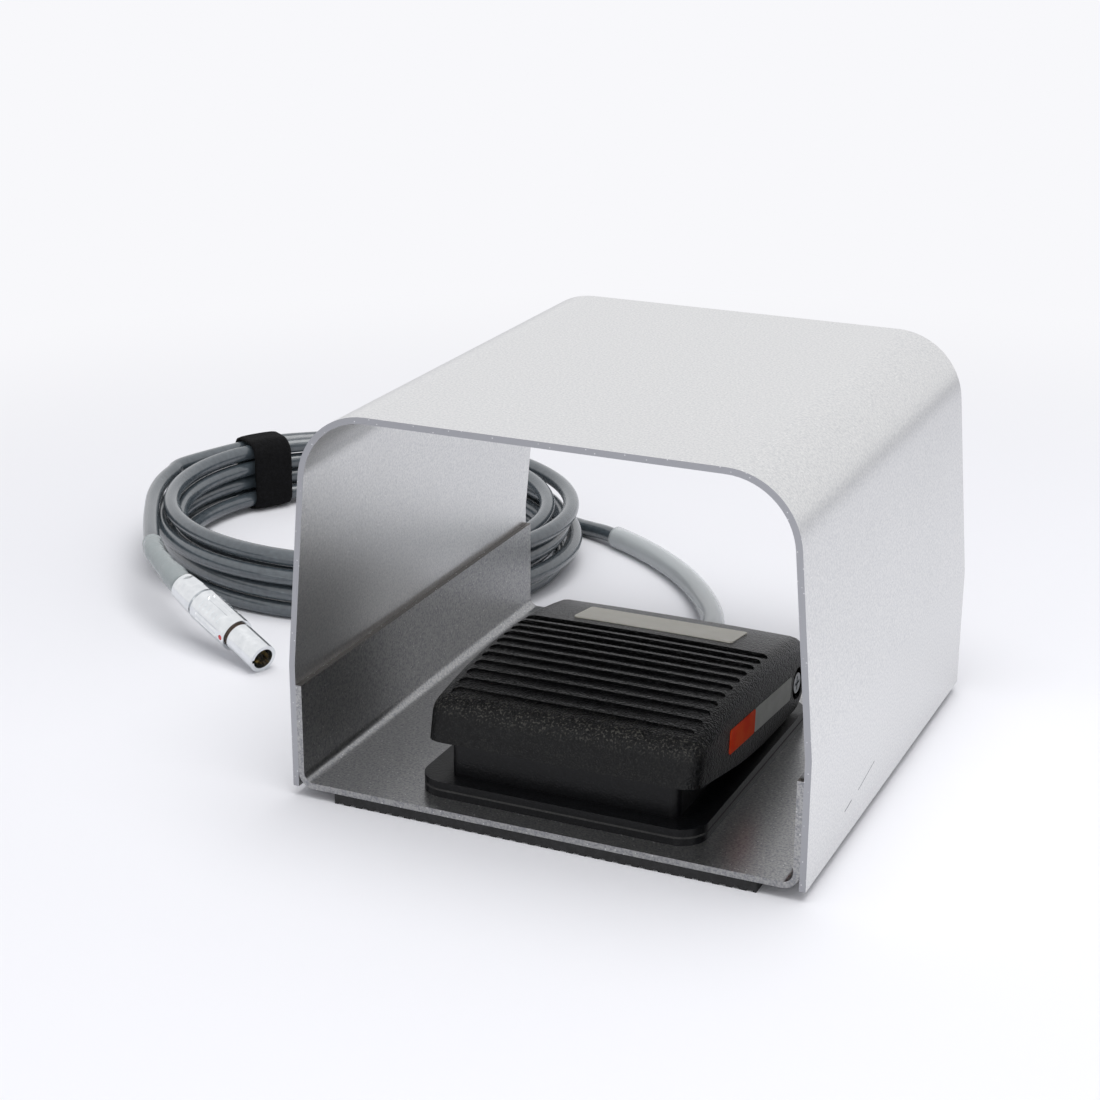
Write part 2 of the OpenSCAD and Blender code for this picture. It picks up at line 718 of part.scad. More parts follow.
// Bosses, wells, guide, bracket and clamp posts inside the hollow body, drawn over full height
module base_bosses() {
    cover_places() translate([0, 0, gasket_z]) cylinder(d = cover_boss_d, h = roof_z);
    mount_places() translate([0, 0, gasket_z]) cylinder(d = mount_boss_d, h = roof_z);
    for (s = [-1, 1]) translate([s * spring_x, spring_y, spring_well_floor_z - shell_wall])
        cylinder(d = spring_well_d + 2 * well_wall, h = roof_z);
    translate([0, rod_y, guide_low_z]) cylinder(d = guide_d, h = roof_z);
    for (s = [-1, 1]) translate([s * (shell_w / 2 - pivot_block / 2), pivot_y, pivot_z])
        rotate([0, 90, 0]) cylinder(d = pivot_boss_d, h = pivot_block, center = true);
    translate([-switch_w / 2 - bracket_gap - bracket_t, switch_y0, switch_z0 + hole_inset / 2])
        cube([bracket_t, switch_l, roof_z]);
    for (s = [-1, 1]) translate([s * clamp_screw_x - clamp_post_w / 2, clamp_y, clamp_top_z])
        cube([clamp_post_w, clamp_l, roof_z]);
    translate([-clamp_screw_x, clamp_y, exit_z + cable_d / 2 + fit_gap])
        cube([2 * clamp_screw_x, clamp_l, roof_z]);
}

// A threaded hole from the gasket up, ending over the screw's tip
module screw_hole(d) {
    translate([0, 0, gasket_z - over]) cylinder(d = d + 2 * fit_gap, h = screw_depth + seat_gap + over);
}

module cover_screws() {
    rise = (cover_screw_head_d - cover_screw_d) / 2;
    color("#8d9093") at_pedal() cover_places() translate([0, 0, floor_z]) {
        cylinder(d = cover_screw_d, h = gasket_z + screw_depth - floor_z);
        cylinder(d1 = cover_screw_head_d, d2 = cover_screw_d, h = rise);
    }
}

module mounting_screws() {
    color("#a5a8ab") at_pedal() mount_places() difference() {
        union() {
            translate([0, 0, pad_t - mount_screw_head_h])
                cylinder(d = mount_screw_head_d, h = mount_screw_head_h);
            translate([0, 0, pad_t - fit_gap])
                cylinder(d = mount_screw_d, h = gasket_z + screw_depth - pad_t + fit_gap);
        }
        translate([0, 0, pad_t - mount_screw_head_h]) cross_slot(mount_screw_head_d / 2, slot_w, slot_h);
    }
}

// Cross recess in a screw head
module cross_slot(l, w, h) {
    for (turn = [0, 90]) rotate([0, 0, turn]) cube([l, w, 2 * h], center = true);
}

module pivot_screws() {
    // Shoulder from the hollow body's side out to the head, which clears the treadle's recess
    seat_x = treadle_half - pivot_recess_h + fit_gap * 2;
    half = shell_w / 2;
    color("#c3c5c8") at_pedal() for (s = [0, 1]) mirror([s, 0, 0]) translate([0, pivot_y, pivot_z])
        rotate([0, 90, 0]) difference() {
            union() {
                translate([0, 0, half]) cylinder(d = pivot_screw_d, h = seat_x - half + fit_gap);
                translate([0, 0, half - pivot_thread_l + seat_gap])
                    cylinder(d = pivot_thread_d, h = pivot_thread_l);
                translate([0, 0, seat_x]) cylinder(d = pivot_head_d, h = pivot_head_h);
            }
            translate([0, 0, seat_x + pivot_head_h]) cross_slot(pivot_head_d * 0.7, slot_w, slot_h);
        }
}

module stop_bumpers() {
    low_z = roof_at(bumper_y) - bumper_seat;
    // The pressed toe's inside, lowest over the bumper's front edge
    front_y = bumper_y - bumper_d / 2;
    inner_r = toe_r - treadle_wall;
    toe_under_z = toe_mid[1] + sqrt(inner_r * inner_r - pow(front_y - toe_mid[0], 2));
    top_z = toe_under_z - drop_at(front_y) - seat_gap;
    color("#2f3032") at_pedal() for (s = [-1, 1]) translate([s * spring_x, bumper_y, low_z])
        cylinder(d = bumper_d, h = top_z - low_z);
}

module cord_gland() {
    color("#18191a") at_pedal() translate([0, 0, exit_z]) rotate([-90, 0, 0]) difference() {
        union() {
            translate([0, 0, shell_y1]) cylinder(d = gland_d, h = gland_y1 - shell_y1);
            translate([0, 0, shell_y1 - shell_wall - gland_inner_flange_t])
                cylinder(d = gland_neck_d, h = shell_wall + gland_inner_flange_t + over);
            translate([0, 0, shell_y1 - shell_wall - gland_inner_flange_t])
                cylinder(d = gland_d, h = gland_inner_flange_t);
        }
        translate([0, 0, shell_y1 - shell_wall - gland_inner_flange_t - over])
            cylinder(d = cable_d + 2 * fit_gap, h = gland_y1 - shell_y1 + shell_wall
                + gland_inner_flange_t + 2 * over);
    }
}

module inner_cord() {
    color("#4b555c") at_pedal() translate([0, gland_y1, exit_z]) rotate([90, 0, 0])
        cylinder(d = cable_d, h = gland_y1 - shell_y1 + cord_tail_l);
}

module clamp_screw_places() {
    for (s = [-1, 1]) translate([s * clamp_screw_x, clamp_y + clamp_l / 2, 0]) children();
}

module cord_clamp() {
    color("#9a9da0") at_pedal() difference() {
        translate([-clamp_half, clamp_y, clamp_top_z - clamp_t]) cube([2 * clamp_half, clamp_l, clamp_t]);
        clamp_screw_places() translate([0, 0, clamp_top_z - clamp_t - over])
            cylinder(d = clamp_screw_d + 2 * fit_gap, h = clamp_t + 2 * over);
        clamp_screw_places() translate([0, 0, clamp_top_z - clamp_t])
            countersink(clamp_screw_d + 2 * fit_gap, clamp_screw_head_d + 2 * fit_gap);
    }
}

module clamp_screws() {
    rise = (clamp_screw_head_d - clamp_screw_d) / 2;
    color("#8d9093") at_pedal() clamp_screw_places() translate([0, 0, clamp_top_z - clamp_t]) {
        cylinder(d = clamp_screw_d, h = clamp_t + clamp_screw_l);
        cylinder(d1 = clamp_screw_head_d, d2 = clamp_screw_d, h = rise);
    }
}

module switch_wires() {
    tail_y = shell_y1 - cord_tail_l;
    side_x = switch_w / 2 + switch_screw_head_h + 2 * wire_d;
    end_y = switch_y0 - terminal_l;
    color("#b0402c") at_pedal() for (i = [0, 1]) {
        z = terminal_z(2 * i);
        cord_z = exit_z + (i == 0 ? -wire_d : wire_d);
        tube([
            [0, tail_y, cord_z], [0, tail_y - wire_d, cord_z], [wire_d, tail_y - 3 * wire_d, cord_z],
            [side_x / 2, switch_y1 + 3 * wire_d, cord_z], [side_x, switch_y1 + wire_d, (cord_z + z) / 2],
            [side_x, switch_y1 - 3 * wire_d, z], [side_x, switch_y0 + wire_d, z],
            [side_x, switch_y0 - terminal_l, z], [side_x * 0.8, end_y - 2 * wire_d, z],
            [side_x * 0.4, end_y - 3 * wire_d, z], [wire_d / 2, end_y - 2.4 * wire_d, z],
            [0, end_y - wire_d, z], [0, end_y, z]
        ], wire_d, 6, [0, -1, 0], [0, 1, 0]);
    }
}

// Height of a terminal of the switch
function terminal_z(i) = switch_z0 + hole_inset + i * terminal_pitch;

// The two screws through the switch, along x
module switch_screw_places() {
    translate([0, switch_y0 + hole_inset, switch_z0 + hole_inset]) children();
    translate([0, switch_y1 - hole_inset, switch_top_z - hole_inset]) children();
}

module switch_body() {
    color("#26262a") at_pedal() difference() {
        union() {
            translate([-switch_w / 2, switch_y0, switch_z0]) cube([switch_w, switch_l, switch_h]);
            for (s = [-1, 1]) translate([s * (lever_w / 2 + fit_gap * 2 + ear_t / 2) - ear_t / 2,
                lever_y - ear_w / 2, switch_top_z - over]) cube([ear_t, ear_w, ear_h + over]);
        }
        switch_screw_places() rotate([0, 90, 0])
            cylinder(d = switch_screw_d + 2 * fit_gap, h = switch_w + 2 * over, center = true);
        translate([0, button_y, switch_top_z - button_hole_l])
            cylinder(d = button_d + 2 * fit_gap, h = button_hole_l + over);
        translate([0, lever_y, lever_z]) rotate([0, 90, 0])
            cylinder(d = lever_pin_d + 2 * fit_gap, h = switch_w, center = true);
        for (i = [0 : 2]) translate([-terminal_t / 2, switch_y0 - over, terminal_z(i) - terminal_w / 2])
            cube([terminal_t, terminal_seat + over, terminal_w]);
    }
}

module switch_terminals() {
    color("#c9a44c") at_pedal() for (i = [0 : 2])
        translate([-terminal_t / 2, switch_y0 - terminal_l, terminal_z(i) - terminal_w / 2])
            cube([terminal_t, terminal_l + terminal_seat, terminal_w]);
}

module switch_screws() {
    color("#a5a8ab") at_pedal() switch_screw_places() rotate([0, 90, 0]) {
        translate([0, 0, switch_w / 2]) cylinder(d = switch_screw_head_d, h = switch_screw_head_h);
        translate([0, 0, -switch_w / 2 - bracket_gap - bracket_t])
            cylinder(d = switch_screw_d, h = switch_w + bracket_gap + bracket_t + over / 2);
    }
}

module switch_button() {
    color("#c8472e") at_pedal() translate([0, button_y, button_top_z - button_l])
        cylinder(d = button_d, h = button_l);
}

module switch_lever() {
    color("#d5d7d9") at_pedal() translate([0, lever_y, lever_z]) rotate([-lever_rest, 0, 0]) {
        translate([-lever_w / 2, -lever_l, -lever_t / 2]) cube([lever_w, lever_l, lever_t]);
        rotate([0, 90, 0]) cylinder(d = lever_barrel_d, h = lever_w, center = true);
        rotate([0, 90, 0]) cylinder(d = lever_pin_d, h = lever_w + 2 * ear_t, center = true);
    }
}

module push_rod() {
    collar_z = guide_low_z - seat_gap - rod_collar_h;
    color("#d9dadb") at_pedal() translate([0, rod_y, 0]) {
        translate([0, 0, collar_z]) cylinder(d = rod_d, h = rod_top_z - collar_z);
        translate([0, 0, collar_z]) cylinder(d = rod_collar_d, h = rod_collar_h);
        translate([0, 0, rod_low_z]) cylinder(d = rod_tip_d, h = rod_tip_h + rod_collar_h);
    }
}

module rod_seal() {
    color("#5a2f22") at_pedal() translate([0, rod_y, guide_top_z - seal_h]) difference() {
        cylinder(d = seal_d, h = seal_h);
        translate([0, 0, -over]) cylinder(d = rod_d + 2 * fit_gap, h = seal_h + 2 * over);
    }
}

module return_springs() {
    rings_each = 8;
    r = (spring_d - spring_wire_d) / 2;
    low = spring_well_floor_z + spring_wire_d / 2 + fit_gap;
    high = under_at(spring_y) - seat_gap - spring_wire_d / 2;
    path = [for (i = [0 : spring_turns * rings_each]) let (turn_deg = 360 * i / rings_each)
        [r * cos(turn_deg), r * sin(turn_deg), low + (high - low) * i / (spring_turns * rings_each)]];
    last = len(path) - 1;
    color("#b9bcc0") at_pedal() for (s = [-1, 1]) translate([s * spring_x, spring_y, 0])
        tube(path, spring_wire_d, 6, path[1] - path[0], path[last] - path[last - 1]);
    echo("least gap between the curls of a return spring", (high - low) / spring_turns - spring_wire_d);
}

// Points along the treadle's top line, from the toe's face round to the heel's face
function top_point(i, inset) =
    i <= toe_steps
    ? let (a = toe_lean + (90 + toe_beta - toe_lean) * i / toe_steps)
        toe_mid + (toe_r - inset) * [-cos(a), sin(a)]
    : i <= toe_steps + crown_steps
    ? let (a = toe_beta + (rear_beta - toe_beta) * (i - toe_steps) / crown_steps)
        [crown_y, crown_z] + (crown_r - inset) * [sin(a), cos(a)]
    : let (a = rear_beta + (90 - rear_beta) * (i - toe_steps - crown_steps) / rear_steps)
        [rear_y, rear_z] + (rear_edge_r - inset) * [sin(a), cos(a)];

// Points along its lower edge: round the toe's corner, along the skirt and round the heel
function low_point(i) =
    let (
        heel_from = treadle_steps - heel_steps,
        y_a = treadle_y0 + plan_corner_r,
        y_b = treadle_y1 - heel_r,
        heel_mid_z = skirt_at(y_b) + heel_r
    )
    i < toe_steps
    ? let (y = treadle_y0 + plan_corner_r * (1 - cos(90 * i / toe_steps))) [y, skirt_at(y)]
    : i <= heel_from
    ? let (y = y_a + (y_b - y_a) * (i - toe_steps) / (heel_from - toe_steps)) [y, skirt_at(y)]
    : let (a = 90 * (i - heel_from) / heel_steps) [y_b + heel_r * sin(a), heel_mid_z - heel_r * cos(a)];

// The same for the hollow inside, which stays open below
function low_inside(i, inset) =
    let (
        p = low_point(i),
        toe_shift = i < toe_steps ? inset * cos(90 * i / toe_steps) : 0,
        heel_share = (p[0] - treadle_y1 + heel_r) / heel_r,
        heel_shift = heel_share > 0 ? inset * heel_share : 0
    )
    [p[0] + toe_shift - heel_shift, min(skirt_at(treadle_y1), p[1]) - over];

// Half the treadle's width at a station: the toe's corners are round in plan
function half_at(i, inset) =
    treadle_half - plan_corner_r
    + (plan_corner_r - inset) * (i < toe_steps ? sin(90 * i / toe_steps) : 1);

// One closed section, up one side, over the crown and down the other side
function section(low, top, half, r, rise) =
    let (
        arc_steps = 4,
        run = norm(top - low),
        up = (top - low) / run,
        side = [for (k = [0 : arc_steps]) let (a = 90 * k / arc_steps)
            [half - r + r * cos(a), run - r + r * sin(a)]],
        right = concat([[half, 0]], side, [[(half - r) / 2, run + rise * 3 / 4]]),
        n = len(right),
        flat = concat(right, [[0, run + rise]], [for (k = [n - 1 : -1 : 0]) [-right[k][0], right[k][1]]])
    )
    [for (p = flat) [p[0], low[0] + up[0] * p[1], low[1] + up[1] * p[1]]];

module treadle_outside() {
    loft([for (i = [0 : treadle_steps])
        section(low_point(i), top_point(i, 0), half_at(i, 0), min(side_edge_r, plan_corner_r / 2 + i / 2),
            camber * min(1, i / toe_steps))]);
}

module treadle_inside() {
    loft([for (i = [0 : treadle_steps])
        section(low_inside(i, treadle_wall), top_point(i, treadle_wall), half_at(i, treadle_wall),
            side_edge_r - treadle_wall, 0)]);
}

// A grip groove with round ends, cut square to the crown
module grip_groove(i) {
    share = i / (groove_n - 1);
    beta = asin((groove_y0 - i * groove_pitch - crown_y) / crown_r);
    half = treadle_half - side_edge_r / 2 - share * groove_draw_in;
    depth = groove_deep + share * (groove_shallow - groove_deep);
    translate([0, crown_y, crown_z]) rotate([-beta, 0, 0]) translate([0, 0, crown_r - depth])
        linear_extrude(height = depth + 2 * over) union() {
            square([2 * half - groove_w, groove_w], center = true);
            for (s = [-1, 1]) translate([s * (half - groove_w / 2), 0]) circle(d = groove_w);
        }
}

// Places a flat thing on the crown at a place along the treadle
module on_crown(y) {
    beta = asin((y - crown_y) / crown_r);
    translate([0, crown_y, crown_z]) rotate([-beta, 0, 0]) translate([0, 0, crown_r]) children();
}

module treadle() {
    notch_half = gland_d / 2 + gland_notch_gap;
    inner_half = treadle_half - treadle_wall;
    color("#1f2022") at_pedal() difference() {
        union() {
            difference() {
                treadle_outside();
                treadle_inside();
            }
            for (s = [-1, 1]) translate([s * (shell_w / 2 + boss_gap + (treadle_half - shell_w / 2 - boss_gap
                - treadle_wall / 2) / 2), pivot_y, pivot_z]) rotate([0, 90, 0])
                cylinder(d = pivot_boss_d, h = treadle_half - shell_w / 2 - boss_gap - treadle_wall / 2,
                    center = true);
            translate([0, rod_y, under_at(rod_y) - rod_boss_h])
                cylinder(d = rod_boss_d, h = rod_boss_h + treadle_wall / 4);
            for (s = [-1, 1]) translate([s * spring_x, spring_y, under_at(spring_y) - spring_stub_h])
                cylinder(d = spring_stub_d, h = spring_stub_h + treadle_wall / 4);
        }
        for (i = [0 : groove_n - 1]) grip_groove(i);
        on_crown(plate_y) translate([0, 0, -plate_seat]) linear_extrude(height = 2 * over)
            round_rect(-label_w / 2 - fit_gap, -label_d / 2 - fit_gap, label_w / 2 + fit_gap,
                label_d / 2 + fit_gap, plate_corner_r);
        translate([0, pivot_y, pivot_z]) rotate([0, 90, 0])
            cylinder(d = pivot_screw_d + 2 * fit_gap, h = treadle_w + 2 * over, center = true);
        for (s = [0, 1]) mirror([s, 0, 0]) translate([treadle_half - pivot_recess_h, pivot_y, pivot_z])
            rotate([0, 90, 0]) cylinder(d = pivot_recess_d, h = pivot_recess_h + over);
        // The heel wall ends over the ledge, and is notched round the cord's gland
        translate([-inner_half, shell_y1, flange_z]) cube([2 * inner_half, flange_y1 - shell_y1,
            ledge_z + seat_gap - flange_z]);
        translate([-notch_half, shell_y1 + boss_gap, flange_z])
            cube([2 * notch_half, flange_y1 - shell_y1, exit_z + notch_half - flange_z]);
    }
}

module label_plate() {
    color("#e9e6d8") at_pedal() on_crown(plate_y) translate([0, 0, -plate_seat])
        linear_extrude(height = plate_t)
            round_rect(-label_w / 2, -label_d / 2, label_w / 2, label_d / 2, plate_corner_r);
}

// A flat sticker on the treadle's right side, along the skirt, from one place to another
module side_sticker(from, to) {
    at_pedal() translate([treadle_half, sticker_y, sticker_z]) rotate([sticker_slope, 0, 0])
        rotate([90, 0, 90]) linear_extrude(height = sticker_t)
            round_rect(from, -sticker_h / 2, to, sticker_h / 2, plate_corner_r);
}

module red_label() {
    color("#e0512f") side_sticker(0, sticker_red_l);
}

module grey_label() {
    color("#b9bab4") side_sticker(sticker_red_l, sticker_red_l + sticker_grey_l);
}

module pedal_cord() {
    path = concat([[pedal_shift, gland_y1, exit_z]], pedal_route, [coil_in]);
    color("#4b555c") tube(path, cable_d, 8, [0, 1, 0], coil_arc[0] - coil_in);
}

module cord_sleeve() {
    path = [for (i = [sleeve_start : sleeve_end]) pedal_route[i]];
    n = len(path);
    color("#e8eceb") hose(path, [for (p = path) sleeve_d], cable_d + sleeve_bore_gap, 8,
        path[1] - path[0], path[n - 1] - path[n - 2]);
}

module cord_coil() {
    last = len(coil_path) - 1;
    color("#4b555c") tube(coil_path, cable_d, 6, coil_path[1] - coil_path[0],
        coil_path[last] - coil_path[last - 1]);
    // Points at least half a turn apart along the tube
    gaps = [for (i = [0 : last - turn_rings / 2 - 1], j = [i + turn_rings / 2 : last])
        norm(coil_path[i] - coil_path[j])];
    lengths = [for (i = [1 : last]) norm(coil_path[i] - coil_path[i - 1])];
    echo("least gap of the coil to itself", min(gaps) - cable_d);
    echo("length of the coil", lengths * [for (l = lengths) 1]);
}

module cord_strap() {
    wide = strap_turns * coil_step + cable_d;
    tall = (coil_layers - 1) * coil_rise + cable_d;
    low = coil_low_z + strap_lift - cable_d / 2;
    inset = strap_turns * coil_step / 2;
    mid_x = coil_x + (coil_a - inset) * cos(strap_deg);
    mid_y = coil_y + (coil_b - inset) * sin(strap_deg);
    // Square to the turns there
    turn_dir = atan2(coil_b * cos(strap_deg), -coil_a * sin(strap_deg));
    color("#1b1b1d") translate([mid_x, mid_y, low + tall / 2]) rotate([90, 0, turn_dir + 90])
        linear_extrude(height = strap_w, center = true) difference() {
            strap_outline(wide / 2 + strap_gap + strap_t, tall / 2 + strap_gap_z + strap_t,
                cable_d / 2 + strap_t);
            strap_outline(wide / 2 + strap_gap, tall / 2 + strap_gap_z, cable_d / 2);
        }
}

module strap_outline(half_x, half_y, r) {
    round_rect(-half_x, -half_y, half_x, half_y, r);
}

module plug_cord() {
    path = concat([coil_out], plug_route, [plug_rear]);
    color("#4b555c") tube(path, cable_d, 8, coil_out - coil_arc[coil_rings], plug_axis);
}

module heat_shrink() {
    n = len(plug_route);
    path = concat([for (i = [n - 2, n - 1]) plug_route[i]],
        [for (share = [0.35, 0.7]) plug_route[n - 1] + share * (plug_rear - plug_route[n - 1])],
        [plug_rear - fit_gap * plug_axis]);
    color("#8f979a") hose(path, [shrink_d, shrink_d, (shrink_d + shrink_flare_d) / 2, shrink_flare_d,
        shrink_flare_d], shrink_bore_d, 8, path[1] - path[0], plug_axis);
}

// Places the connector's rear at the origin with its tip up the z axis
module at_plug() {
    translate(plug_tip) rotate([0, 90 + plug_slope, plug_heading]) translate([0, 0, -plug_l]) children();
}

module collet_nut() {
    color("#c4c7ca") at_plug() difference() {
        union() {
            cylinder(d1 = nut_rear_d, d2 = nut_front_d, h = nut_l - nut_front_l);
            translate([0, 0, nut_l - nut_front_l]) cylinder(d = nut_front_d, h = nut_front_l);
        }
        translate([0, 0, -over]) cylinder(d = cable_d + 2 * fit_gap, h = nut_l + 2 * over);
        translate([0, 0, nut_back_wall]) cylinder(d = shell_thread_d + 2 * fit_gap, h = nut_l);
        // Two flats for a spanner
        for (s = [0, 1]) mirror([s, 0, 0]) translate([nut_rear_d / 2 - nut_flat_depth, -grip_d, nut_flat_z])
            cube([grip_d, 2 * grip_d, nut_flat_l]);
    }
}

module plug_collet() {
    color("#b08d4a") at_plug() {
        cylinder(d = cable_d, h = nut_back_wall);
        translate([0, 0, nut_back_wall]) cylinder(d = cable_d + over, h = collet_l);
    }
}

module plug_shell() {
    thread_z0 = nut_back_wall + collet_l + fit_gap;
    color("#d2d4d6") at_plug() difference() {
        union() {
            translate([0, 0, thread_z0]) cylinder(d = shell_thread_d, h = nut_l - thread_z0 + over / 2);
            translate([0, 0, nut_l + fit_gap]) cylinder(d = shell_tube_d, h = grip_z1 - nut_l);
            translate([0, 0, grip_z1]) cylinder(d = ring_groove_d, h = ring_groove_l + over);
            translate([0, 0, plug_l - barrel_l]) cylinder(d = barrel_d, h = barrel_l);
        }
        translate([0, 0, thread_z0 - over]) cylinder(d = insert_d + 2 * fit_gap, h = plug_l);
        translate([0, 0, plug_l - barrel_bore_l]) cylinder(d = barrel_bore_d, h = barrel_bore_l + over);
        // Key slot in the barrel's rim
        rotate([0, 0, dot_turn]) translate([barrel_bore_d / 2 - over, -key_w / 2, plug_l - key_l])
            cube([over + key_depth, key_w, key_l + over]);
    }
}

module latch_ring() {
    color("#b5713a") at_plug() translate([0, 0, grip_z1 + fit_gap]) difference() {
        cylinder(d = latch_ring_d, h = ring_groove_l - fit_gap);
        translate([0, 0, -over]) cylinder(d = ring_groove_d + 2 * fit_gap, h = ring_groove_l + 2 * over);
    }
}

module grip_sleeve() {
    l = grip_z1 - grip_z0;
    color("#cfd1d4") at_plug() translate([0, 0, grip_z0]) difference() {
        cylinder(d = grip_d, h = l);
        translate([0, 0, -over]) cylinder(d = grip_bore_d, h = l + 2 * over);
        for (k = [0 : panel_n - 1], side = [-1, 1])
            rotate([0, 0, dot_turn + 360 * k / panel_n + side * flute_deg])
                translate([grip_d / 2 + flute_d / 2 - flute_depth, 0, flute_z0]) {
                    cylinder(d = flute_d, h = flute_l);
                    for (z = [0, flute_l]) translate([0, 0, z]) sphere(d = flute_d);
                }
        for (k = [0 : panel_n - 1]) rotate([0, 0, dot_turn + 360 * (k + 1 / 2) / panel_n])
            for (i = [0 : grip_rib_n - 1], side = [-1, 1])
                translate([grip_d / 2 - rib_slot_depth, side * (rib_spine_w + rib_slot_w) / 2 - rib_slot_w / 2,
                    rib_z0 + i * grip_rib_pitch]) cube([over, rib_slot_w, rib_slot_l]);
        at_dot() cylinder(d = dot_d + 2 * fit_gap, h = grip_d);
    }
}

// Seat of the dot in the grip sleeve's front ring, measured from the sleeve's own rear end
module at_dot() {
    rotate([0, 0, dot_turn]) translate([grip_d / 2 - dot_seat - dot_t / 2, 0, grip_z1 - grip_z0 - dot_d])
        rotate([0, 90, 0]) children();
}

module alignment_dot() {
    color("#d3342a") at_plug() translate([0, 0, grip_z0]) at_dot() cylinder(d = dot_d, h = dot_t);
}

module plug_insulator() {
    color("#2a2a2c") at_plug() difference() {
        translate([0, 0, insert_z0]) cylinder(d = insert_d, h = plug_l - barrel_bore_l + insert_nose - insert_z0);
        pin_places() translate([0, 0, plug_l - barrel_bore_l + insert_nose - pin_l])
            cylinder(d = pin_d + 2 * fit_gap, h = pin_l + over);
    }
}

module pin_places() {
    for (k = [0 : pin_n - 1]) rotate([0, 0, 360 * k / pin_n]) translate([pin_ring_d / 2, 0, 0]) children();
}

module plug_pins() {
    color("#d8b45a") at_plug() pin_places()
        translate([0, 0, plug_l - barrel_bore_l + insert_nose - pin_l + fit_gap]) cylinder(d = pin_d,
            h = pin_l + pin_reach);
}

guard_hood();
base_tray();
seam_tacks();
rubber_pad();
bottom_cover();
cover_gasket();
pedal_base();
cover_screws();
mounting_screws();
pivot_screws();
stop_bumpers();
return_springs();
rod_seal();
switch_body();
switch_screws();
switch_terminals();
switch_wires();
inner_cord();
cord_clamp();
clamp_screws();
cord_gland();
treadle();
label_plate();
red_label();
grey_label();
push_rod();
switch_lever();
switch_button();
pedal_cord();
cord_sleeve();
cord_coil();
cord_strap();
plug_cord();
heat_shrink();
collet_nut();
plug_collet();
plug_shell();
latch_ring();
plug_insulator();
plug_pins();
grip_sleeve();
alignment_dot();
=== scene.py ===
# %% [markdown]
# # A guarded foot switch
# A treadle switch is screwed into a sheet metal tray, a folded hood keeps falling things off the
# treadle, and a coiled cable ends in a round push-pull connector. The rigid parts come ready-made from
# the CAD frame. This lesson adds the camera, the cords, the finishes, the floor and the light.

import math

import bpy
import numpy as np
from mathutils import Matrix, Vector


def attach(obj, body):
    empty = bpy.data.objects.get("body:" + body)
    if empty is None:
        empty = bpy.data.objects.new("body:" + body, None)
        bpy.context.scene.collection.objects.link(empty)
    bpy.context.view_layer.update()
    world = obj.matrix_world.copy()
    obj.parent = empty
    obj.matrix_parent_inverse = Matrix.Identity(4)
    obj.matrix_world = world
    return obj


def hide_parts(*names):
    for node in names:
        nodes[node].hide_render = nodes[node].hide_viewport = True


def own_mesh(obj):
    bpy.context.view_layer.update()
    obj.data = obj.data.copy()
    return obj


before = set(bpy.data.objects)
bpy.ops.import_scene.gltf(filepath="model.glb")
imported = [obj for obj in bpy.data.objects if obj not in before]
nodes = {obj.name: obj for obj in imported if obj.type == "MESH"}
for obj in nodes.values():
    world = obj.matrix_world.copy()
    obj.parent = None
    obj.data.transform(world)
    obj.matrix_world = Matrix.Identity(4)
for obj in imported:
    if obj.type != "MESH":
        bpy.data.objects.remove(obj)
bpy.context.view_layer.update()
MM = 0.001
print("nodes in the frame:", len(nodes))

# %% [markdown]
# ## Camera
# The photograph looks down on the switch from the front right. The camera's place and turn were solved
# from the edges of the hood and the tray, and the lens from how fast those edges run together.

# %% Camera
CAMERA_MM = (238.6, -605.0, 296.7)
PITCH_DOWN, YAW, ROLL = (math.radians(a) for a in (19.74, -24.14, 0.28))
LENS_MM, SENSOR_MM = 73.67, 36
NEAREST, FARTHEST = 0.05, 20

forward = Vector((math.sin(YAW) * math.cos(PITCH_DOWN), math.cos(YAW) * math.cos(PITCH_DOWN),
                  -math.sin(PITCH_DOWN)))
level = Vector((math.cos(YAW), -math.sin(YAW), 0))
upright = level.cross(forward)
right = level * math.cos(ROLL) + upright * math.sin(ROLL)
up = upright * math.cos(ROLL) - level * math.sin(ROLL)
camera = bpy.data.objects.new("camera", bpy.data.cameras.new("camera"))
bpy.context.scene.collection.objects.link(camera)
camera.data.lens, camera.data.sensor_width = LENS_MM, SENSOR_MM
camera.data.clip_start, camera.data.clip_end = NEAREST, FARTHEST
turn = Matrix((right, up, -forward)).transposed().to_4x4()
camera.matrix_world = Matrix.Translation(Vector(CAMERA_MM) * MM) @ turn
bpy.context.scene.camera = camera
bpy.context.scene.view_settings.view_transform = "Standard"
print("camera at", tuple(camera.location))

# %% [markdown]
# ## Routes of the cable
# A cable is one long tube, so its shape is a path. It leaves the gland behind the treadle, drops to the
# floor, joins a coil of a little over six turns and comes out again on top of it towards the connector.
# The coil is a formula: the angle grows evenly, each layer spirals in or out by one step a turn, and the
# cable climbs to the next layer while it changes from inwards to outwards. The lead's points are averaged
# with their neighbours a few times, so that its bends are even.

